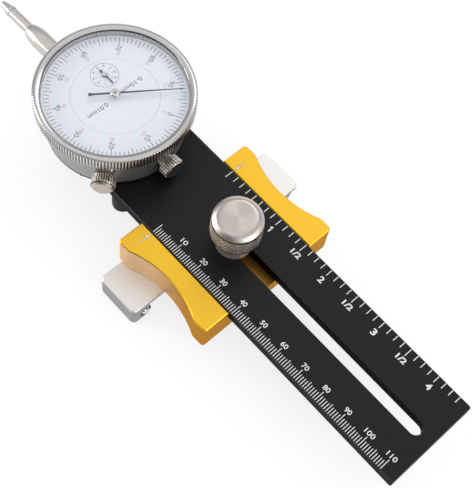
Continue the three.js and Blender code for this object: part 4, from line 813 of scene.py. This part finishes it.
ticks = []
for i in range(100):
    angle = DIAL_ZERO - 2 * math.pi * i / 100
    inner = RING_INNER[10 if i % 10 == 0 else 5 if i % 5 == 0 else 1]
    x, y = polar((RING_OUTER + inner) / 2, angle)
    ticks.append((x, y, angle, RING_OUTER - inner, RING_WIDTH))
ring_ticks = transform(bars("ring_ticks", ticks, *DIAL_PRINT), INDICATOR)
placed(ring_ticks, "bezel", ink_grey, slot="dial_white")


def ring_words(radius, height, value):
    """Ten numbers round the ring, each upright to the dial's zero; value(step) gives the number."""
    found = []
    for i in range(10):
        angle = DIAL_ZERO - 2 * math.pi * i / 10
        x, y = polar(radius, angle)
        found.append((str(value(i)), x, y, DIAL_ZERO - math.pi / 2, height, None, DIGIT_WEIGHT))
    return found


black_digits = lettered("ring_numbers", ring_words(DIGIT_RADIUS, DIGIT_HEIGHT, lambda i: i * 10), ink_black,
                        "bezel", "dial_white", DIAL_PRINT)
transform(black_digits, INDICATOR)
red_digits = lettered("ring_numbers_red", ring_words(RED_RADIUS, RED_HEIGHT, lambda i: (10 - i) % 10 * 10),
                      ink_red, "bezel", "dial_white", DIAL_PRINT)
transform(red_digits, INDICATOR)

# Print on the fixed centre dial
WHEEL = polar(WHEEL_RADIUS, WHEEL_ANGLE)
LEGEND_HEIGHT, LEGEND_WEIGHT = 1.7, -0.004
COUNTER_DIGIT_RADIUS, COUNTER_DIGIT_HEIGHT = 3.9, 0.95
COUNTER_TICK_RADIUS, COUNTER_TICK_LENGTH, COUNTER_TICK_WIDTH = 2.9, 0.6, 0.14
CIRCLE_INNER, CIRCLE_OUTER = 4.93, 5.07
words = [("0-10mm", 0.27, 7.37, -math.pi / 2, LEGEND_HEIGHT, 8.9, LEGEND_WEIGHT),
         ("0.01mm", 0.8, -8.57, -math.pi / 2, LEGEND_HEIGHT, 8.5, LEGEND_WEIGHT)]
ticks = []
for i in range(10):
    angle = -2 * math.pi * i / 10
    x, y = polar(COUNTER_DIGIT_RADIUS, angle)
    words.append((str(i), WHEEL[0] + x, WHEEL[1] + y, -math.pi / 2, COUNTER_DIGIT_HEIGHT, None, 0.0))
    x, y = polar(COUNTER_TICK_RADIUS, angle)
    ticks.append((WHEEL[0] + x, WHEEL[1] + y, angle, COUNTER_TICK_LENGTH, COUNTER_TICK_WIDTH))
centre_print = lettered("centre_print", words, ink_black, "arm", "dial_white", DIAL_PRINT)
transform(centre_print, INDICATOR)
circle_profile = [(CIRCLE_INNER, DIAL_PRINT[0]), (CIRCLE_OUTER, DIAL_PRINT[0]), (CIRCLE_OUTER, DIAL_PRINT[1]),
                  (CIRCLE_INNER, DIAL_PRINT[1])]
circle = lathe("counter_circle", circle_profile, 64, True)
transform(circle, Matrix.Translation((*WHEEL, 0)))
counter_ticks = bars("counter_ticks", ticks, *DIAL_PRINT)
counter_marks = joined("counter_circle_marks", [circle, counter_ticks])
placed(transform(counter_marks, INDICATOR), "arm", ink_grey, slot="dial_white")

# Hands
HAND_LEVEL = 18.75
HAND_THICKNESS = 0.25
HAND_ANGLE = math.radians(53.9)
BLADE = [(-9.3, -0.66), (-7.2, -0.34), (1.7, -0.34), (23.7, -0.1), (23.7, 0.1), (1.7, 0.34), (-7.2, 0.34),
         (-9.3, 0.66)]
HUB = [(0, 18.7), (1.7, 18.7), (1.7, 19.0), (1.5, 19.2), (0.65, 19.25), (0.6, 19.1), (0, 19.1)]
PIN = [(0, 19.0), (0.5, 19.0), (0.5, 19.2), (0.3, 19.28), (0, 19.3)]
COUNTER_HUB = [(0, 17.7), (0.95, 17.7), (0.95, 17.85), (0.8, 18.0), (0, 18.05)]
blade = prism("main_hand_blade", BLADE, HAND_LEVEL, HAND_LEVEL + HAND_THICKNESS)
bevelled(blade, 0.05)
transform(blade, INDICATOR @ Matrix.Rotation(HAND_ANGLE, 4, "Z"))
placed(blade, "main_hand", hand_black, ["main_pointer"])
hub = lathe("main_hand_hub", HUB, 40)
placed(transform(hub, INDICATOR), "main_hand", steel, slot="bright_steel")
pin = lathe("main_hand_pin", PIN, 24)
placed(transform(pin, INDICATOR), "main_hand", oxide, slot="black_oxide")
dressed("counter_pointer", hand_black, 0.03)
counter_hub = lathe("counter_hand_hub", COUNTER_HUB, 32)
transform(counter_hub, INDICATOR @ Matrix.Translation((*WHEEL, 0)))
placed(counter_hub, "counter", steel, slot="bright_steel")

# Stem, spindle, contact, lifting cap and bezel lock: heights run along the stem, contact end first
STEM_BORE, STEM_RADIUS = 2.1, 3.75
STEM_END, STEM_ROOT = -47.3, -23.2
# Its end rounds in like an ellipse; ROUND_PART is the square of the part of its half axis that is used
ROUND_START, ROUND_LENGTH, ROUND_END_RADIUS, ROUND_RISE = -39.8, 7.5, 2.35, 1.4
ROUND_PART = 0.81
ROUND_STEPS = 24
stem_profile = [(STEM_BORE, STEM_END)]
narrow = math.sqrt(1 - ROUND_PART)
for i in range(ROUND_STEPS + 1):
    share = 1 - i / ROUND_STEPS
    value = math.sqrt(1 - ROUND_PART * share * share)
    stem_profile.append((ROUND_END_RADIUS + ROUND_RISE * (value - narrow) / (1 - narrow),
                         ROUND_START - ROUND_LENGTH * share))
stem_profile += [(STEM_RADIUS, STEM_ROOT), (STEM_BORE, STEM_ROOT)]
stem = lathe("stem_sleeve_turned", stem_profile, 64, True)
placed(transform(stem, INDICATOR @ ALONG_X), "arm", stem_nickel, ["stem_sleeve"])
dressed("rack_spindle", stem_nickel, 0.08)
TIP_RADIUS = 1.2
TIP_MIDDLE, TIP_END = -62.2, -63.4
TIP_STEPS = 9
contact = [(0, TIP_END)]
for i in range(1, TIP_STEPS):
    turn = math.pi / 2 * i / TIP_STEPS
    contact.append((TIP_RADIUS * math.sin(turn), TIP_MIDDLE - TIP_RADIUS * math.cos(turn)))
contact += [(2.1, -58.4), (2.2, -58.3), (2.2, -57.45), (2.1, -57.35), (1.0, -57.35), (1.0, -53.3), (0, -53.3)]
tip = lathe("contact_point_turned", contact, 48)
placed(transform(tip, INDICATOR @ ALONG_X), "spindle", steel, ["contact_point"])
dressed("rear_bush", nickel, 0.08)

CAP_RADIUS = 4.0
LOCK_RADIUS = 4.35
CAP_RIBS, LOCK_RIBS = 26, 30
CAP_STEPS = 4
RIB_CUT = 0.34
# How far inside the radius of a ribbed knob its painted valley shade is darkest and where it ends
CUT_DARK, CUT_BRIGHT = 0.26, 0.06


def knurled_cap(name, profile, around, band):
    """A turned knob whose band of points carries straight ribs with narrow grooves."""
    def rib(index, column):
        return -RIB_CUT if index in band and column % CAP_STEPS == 2 else 0
    return lathe(name, profile, CAP_STEPS * around, rib=rib, smooth=26)


cap_profile = [(0, 30.3), (1.83, 30.3), (1.83, 26.1), (2.9, 26.1), (2.9, 27.1), (3.6, 27.1),
               (CAP_RADIUS, 27.5), (CAP_RADIUS, 30.6), (3.75, 31.0), (3.3, 31.3), (0, 31.3)]
cap_nickel = furrowed("cap_ribbed_nickel", (0.80, 0.74, 0.68), (0.05, 0.04, 0.03), 0.3, INDICATOR @ ALONG_X,
                      CAP_RADIUS - CUT_DARK, CAP_RADIUS - CUT_BRIGHT)
lifting = knurled_cap("lifting_cap_knurled", cap_profile, CAP_RIBS, (6, 7))
placed(transform(lifting, INDICATOR @ ALONG_X), "spindle", cap_nickel, ["lifting_cap"])
banded(lifting, CAP_STEPS * CAP_RIBS, (5, 6), nickel)
lock_profile = [(0, 21.5), (1.5, 21.5), (1.5, 26.6), (3.6, 26.6), (LOCK_RADIUS, 27.3),
                (LOCK_RADIUS, 30.3), (3.95, 30.85), (3.2, 31.4), (0, 31.4)]
LOCK_TURN = Matrix.Rotation(math.radians(-49.8), 4, "Z")
lock_nickel = furrowed("lock_ribbed_nickel", (0.82, 0.77, 0.72), (0.05, 0.04, 0.03), 0.3,
                       INDICATOR @ LOCK_TURN @ ALONG_X, LOCK_RADIUS - CUT_DARK,
                       LOCK_RADIUS - CUT_BRIGHT)
lock_plain = metal("lock_plain_nickel", (0.56, 0.51, 0.46), 0.36, 0.05, 12.0, tint=0.06, relief=0.08)
lock = knurled_cap("bezel_lock_knurled", lock_profile, LOCK_RIBS, (4, 5))
placed(transform(lock, INDICATOR @ LOCK_TURN @ ALONG_X), "lock_screw", lock_nickel, ["bezel_lock_screw"])
banded(lock, CAP_STEPS * LOCK_RIBS, (3, 4), lock_plain)
dressed("bezel_lock_plate", nickel, 0.15)

# What stays as the CAD made it gets its finish only
KEPT = {
    "lower_plate": brass, "upper_plate": brass, "pillar_1": brass, "pillar_2": brass, "pillar_3": brass,
    "counter_wheel": brass, "takeup_wheel": brass, "centre_arbor": steel, "hairspring": steel,
    "return_spring": steel, "plunger_spring_near": steel, "plunger_spring_far": steel, "guide_pin": steel,
    "guide_rail": oxide,
}
for name, finish in KEPT.items():
    data = frame["nodes"][name].data
    data.materials.clear()
    data.materials.append(finish)


# Floor, light and camera

FLOOR_LEVEL = -9.55
FLOOR_HALF = 6000
# To the camera and in gloss the floor is scattered light plus glow, which together make white
FLOOR_SCATTER, FLOOR_GLOW = 0.27, 0.77


def floor_material():
    """White floor that shows as white to the camera and in gloss, and keeps the shadow."""
    material = bpy.data.materials.new("floor_white")
    material.use_nodes = True
    tree = material.node_tree
    tree.nodes.clear()
    output = node(tree, "OutputMaterial")
    diffuse = node(tree, "BsdfDiffuse", Color=(FLOOR_SCATTER, FLOOR_SCATTER, FLOOR_SCATTER, 1))
    glow = node(tree, "Emission", Color=(1, 1, 1, 1), Strength=FLOOR_GLOW)
    both = node(tree, "AddShader")
    path = node(tree, "LightPath")
    most = node(tree, "Math", operation="MAXIMUM")
    seen = node(tree, "Math", operation="MAXIMUM")
    mix = node(tree, "MixShader")
    links = tree.links
    links.new(path.outputs["Is Camera Ray"], most.inputs[0])
    links.new(path.outputs["Is Glossy Ray"], most.inputs[1])
    links.new(most.outputs[0], seen.inputs[0])
    links.new(path.outputs["Is Transmission Ray"], seen.inputs[1])
    links.new(diffuse.outputs[0], both.inputs[0])
    links.new(glow.outputs[0], both.inputs[1])
    links.new(seen.outputs[0], mix.inputs[0])
    links.new(diffuse.outputs[0], mix.inputs[1])
    links.new(both.outputs[0], mix.inputs[2])
    links.new(mix.outputs[0], output.inputs[0])
    return material


corners = [(x * FLOOR_HALF, y * FLOOR_HALF, FLOOR_LEVEL) for x, y in ((-1, -1), (1, -1), (1, 1), (-1, 1))]
floor = made("floor", corners, [(0, 1, 2, 3)])
floor.data.materials.append(floor_material())

# A room that brightens upwards, with a dark patch towards -Y
DARK_TOWARDS = (0.25, -0.92, 0.3)
DARK_EDGE, DARK_FULL = 0.74, 0.93
DARK_PATCH = (0.05, 0.05, 0.05)
SKY = [(0.0, 0.45), (0.35, 0.5), (0.58, 0.62), (0.82, 1.0)]
world = bpy.data.worlds.new("studio")
bpy.context.scene.world = world
world.use_nodes = True
tree = world.node_tree
background = tree.nodes["Background"]
direction = node(tree, "TexCoord").outputs["Generated"]
sky = node(tree, "ValToRGB")
while len(sky.color_ramp.elements) < len(SKY):
    sky.color_ramp.elements.new(0.5)
for element, (height, level) in zip(sky.color_ramp.elements, SKY):
    element.position = height
    element.color = (level, level, level, 1)
tree.links.new(parts(tree, direction)["Z"], sky.inputs["Fac"])
towards = node(tree, "VectorMath", operation="DOT_PRODUCT")
towards.inputs[1].default_value = DARK_TOWARDS
tree.links.new(direction, towards.inputs[0])
patch = ramp(tree, towards.outputs["Value"], DARK_EDGE, DARK_FULL, 0, 1)
tree.links.new(blend(tree, patch, sky.outputs["Color"], DARK_PATCH), background.inputs["Color"])
background.inputs["Strength"].default_value = 1.0


LAMP_TARGET = (20, 0, 0)


def lamp(name, place, size, power):
    """A soft white rectangular lamp that faces the gauge; its place and size are in millimetres."""
    data = bpy.data.lights.new(name, "AREA")
    data.shape = "RECTANGLE"
    data.size, data.size_y = size[0] * MM, size[1] * MM
    data.energy = power
    obj = bpy.data.objects.new(name, data)
    bpy.context.scene.collection.objects.link(obj)
    obj.location = Vector(place) * MM
    aim = Vector(LAMP_TARGET) - Vector(place)
    obj.rotation_euler = aim.to_track_quat("-Z", "Y").to_euler()


lamp("left_low", (-500, -370, 160), (260, 260), 1.8)
lamp("right_front", (600, -30, 230), (240, 240), 0.8)
lamp("right_back", (560, 220, 200), (260, 260), 0.4)
lamp("back", (-120, 480, 380), (420, 200), 0.55)

# The photograph's camera, fitted to its scale marks: place in metres, lens and sensor in millimetres
CAMERA_PLACE = (0.126200, -0.136854, 0.358315)
CAMERA_LENS, CAMERA_SENSOR = 82.467, 36
CAMERA_AZ, CAMERA_EL, CAMERA_ROLL = (math.radians(a) for a in (37.28427, 63.46772, 11.20520))
back = Vector((math.sin(CAMERA_AZ) * math.cos(CAMERA_EL), -math.cos(CAMERA_AZ) * math.cos(CAMERA_EL),
               math.sin(CAMERA_EL)))
right = Vector((math.cos(CAMERA_AZ), math.sin(CAMERA_AZ), 0))
up = back.cross(right)
axis_x = right * math.cos(CAMERA_ROLL) + up * math.sin(CAMERA_ROLL)
axis_y = up * math.cos(CAMERA_ROLL) - right * math.sin(CAMERA_ROLL)
camera_data = bpy.data.cameras.new("camera")
camera_data.sensor_width = CAMERA_SENSOR
camera_data.lens = CAMERA_LENS
camera_data.clip_start = 0.01
camera = bpy.data.objects.new("camera", camera_data)
bpy.context.scene.collection.objects.link(camera)
place = Matrix((axis_x, axis_y, back)).transposed().to_4x4()
place.translation = Vector(CAMERA_PLACE)
camera.matrix_world = place
bpy.context.scene.camera = camera
bpy.context.scene.view_settings.view_transform = "Standard"
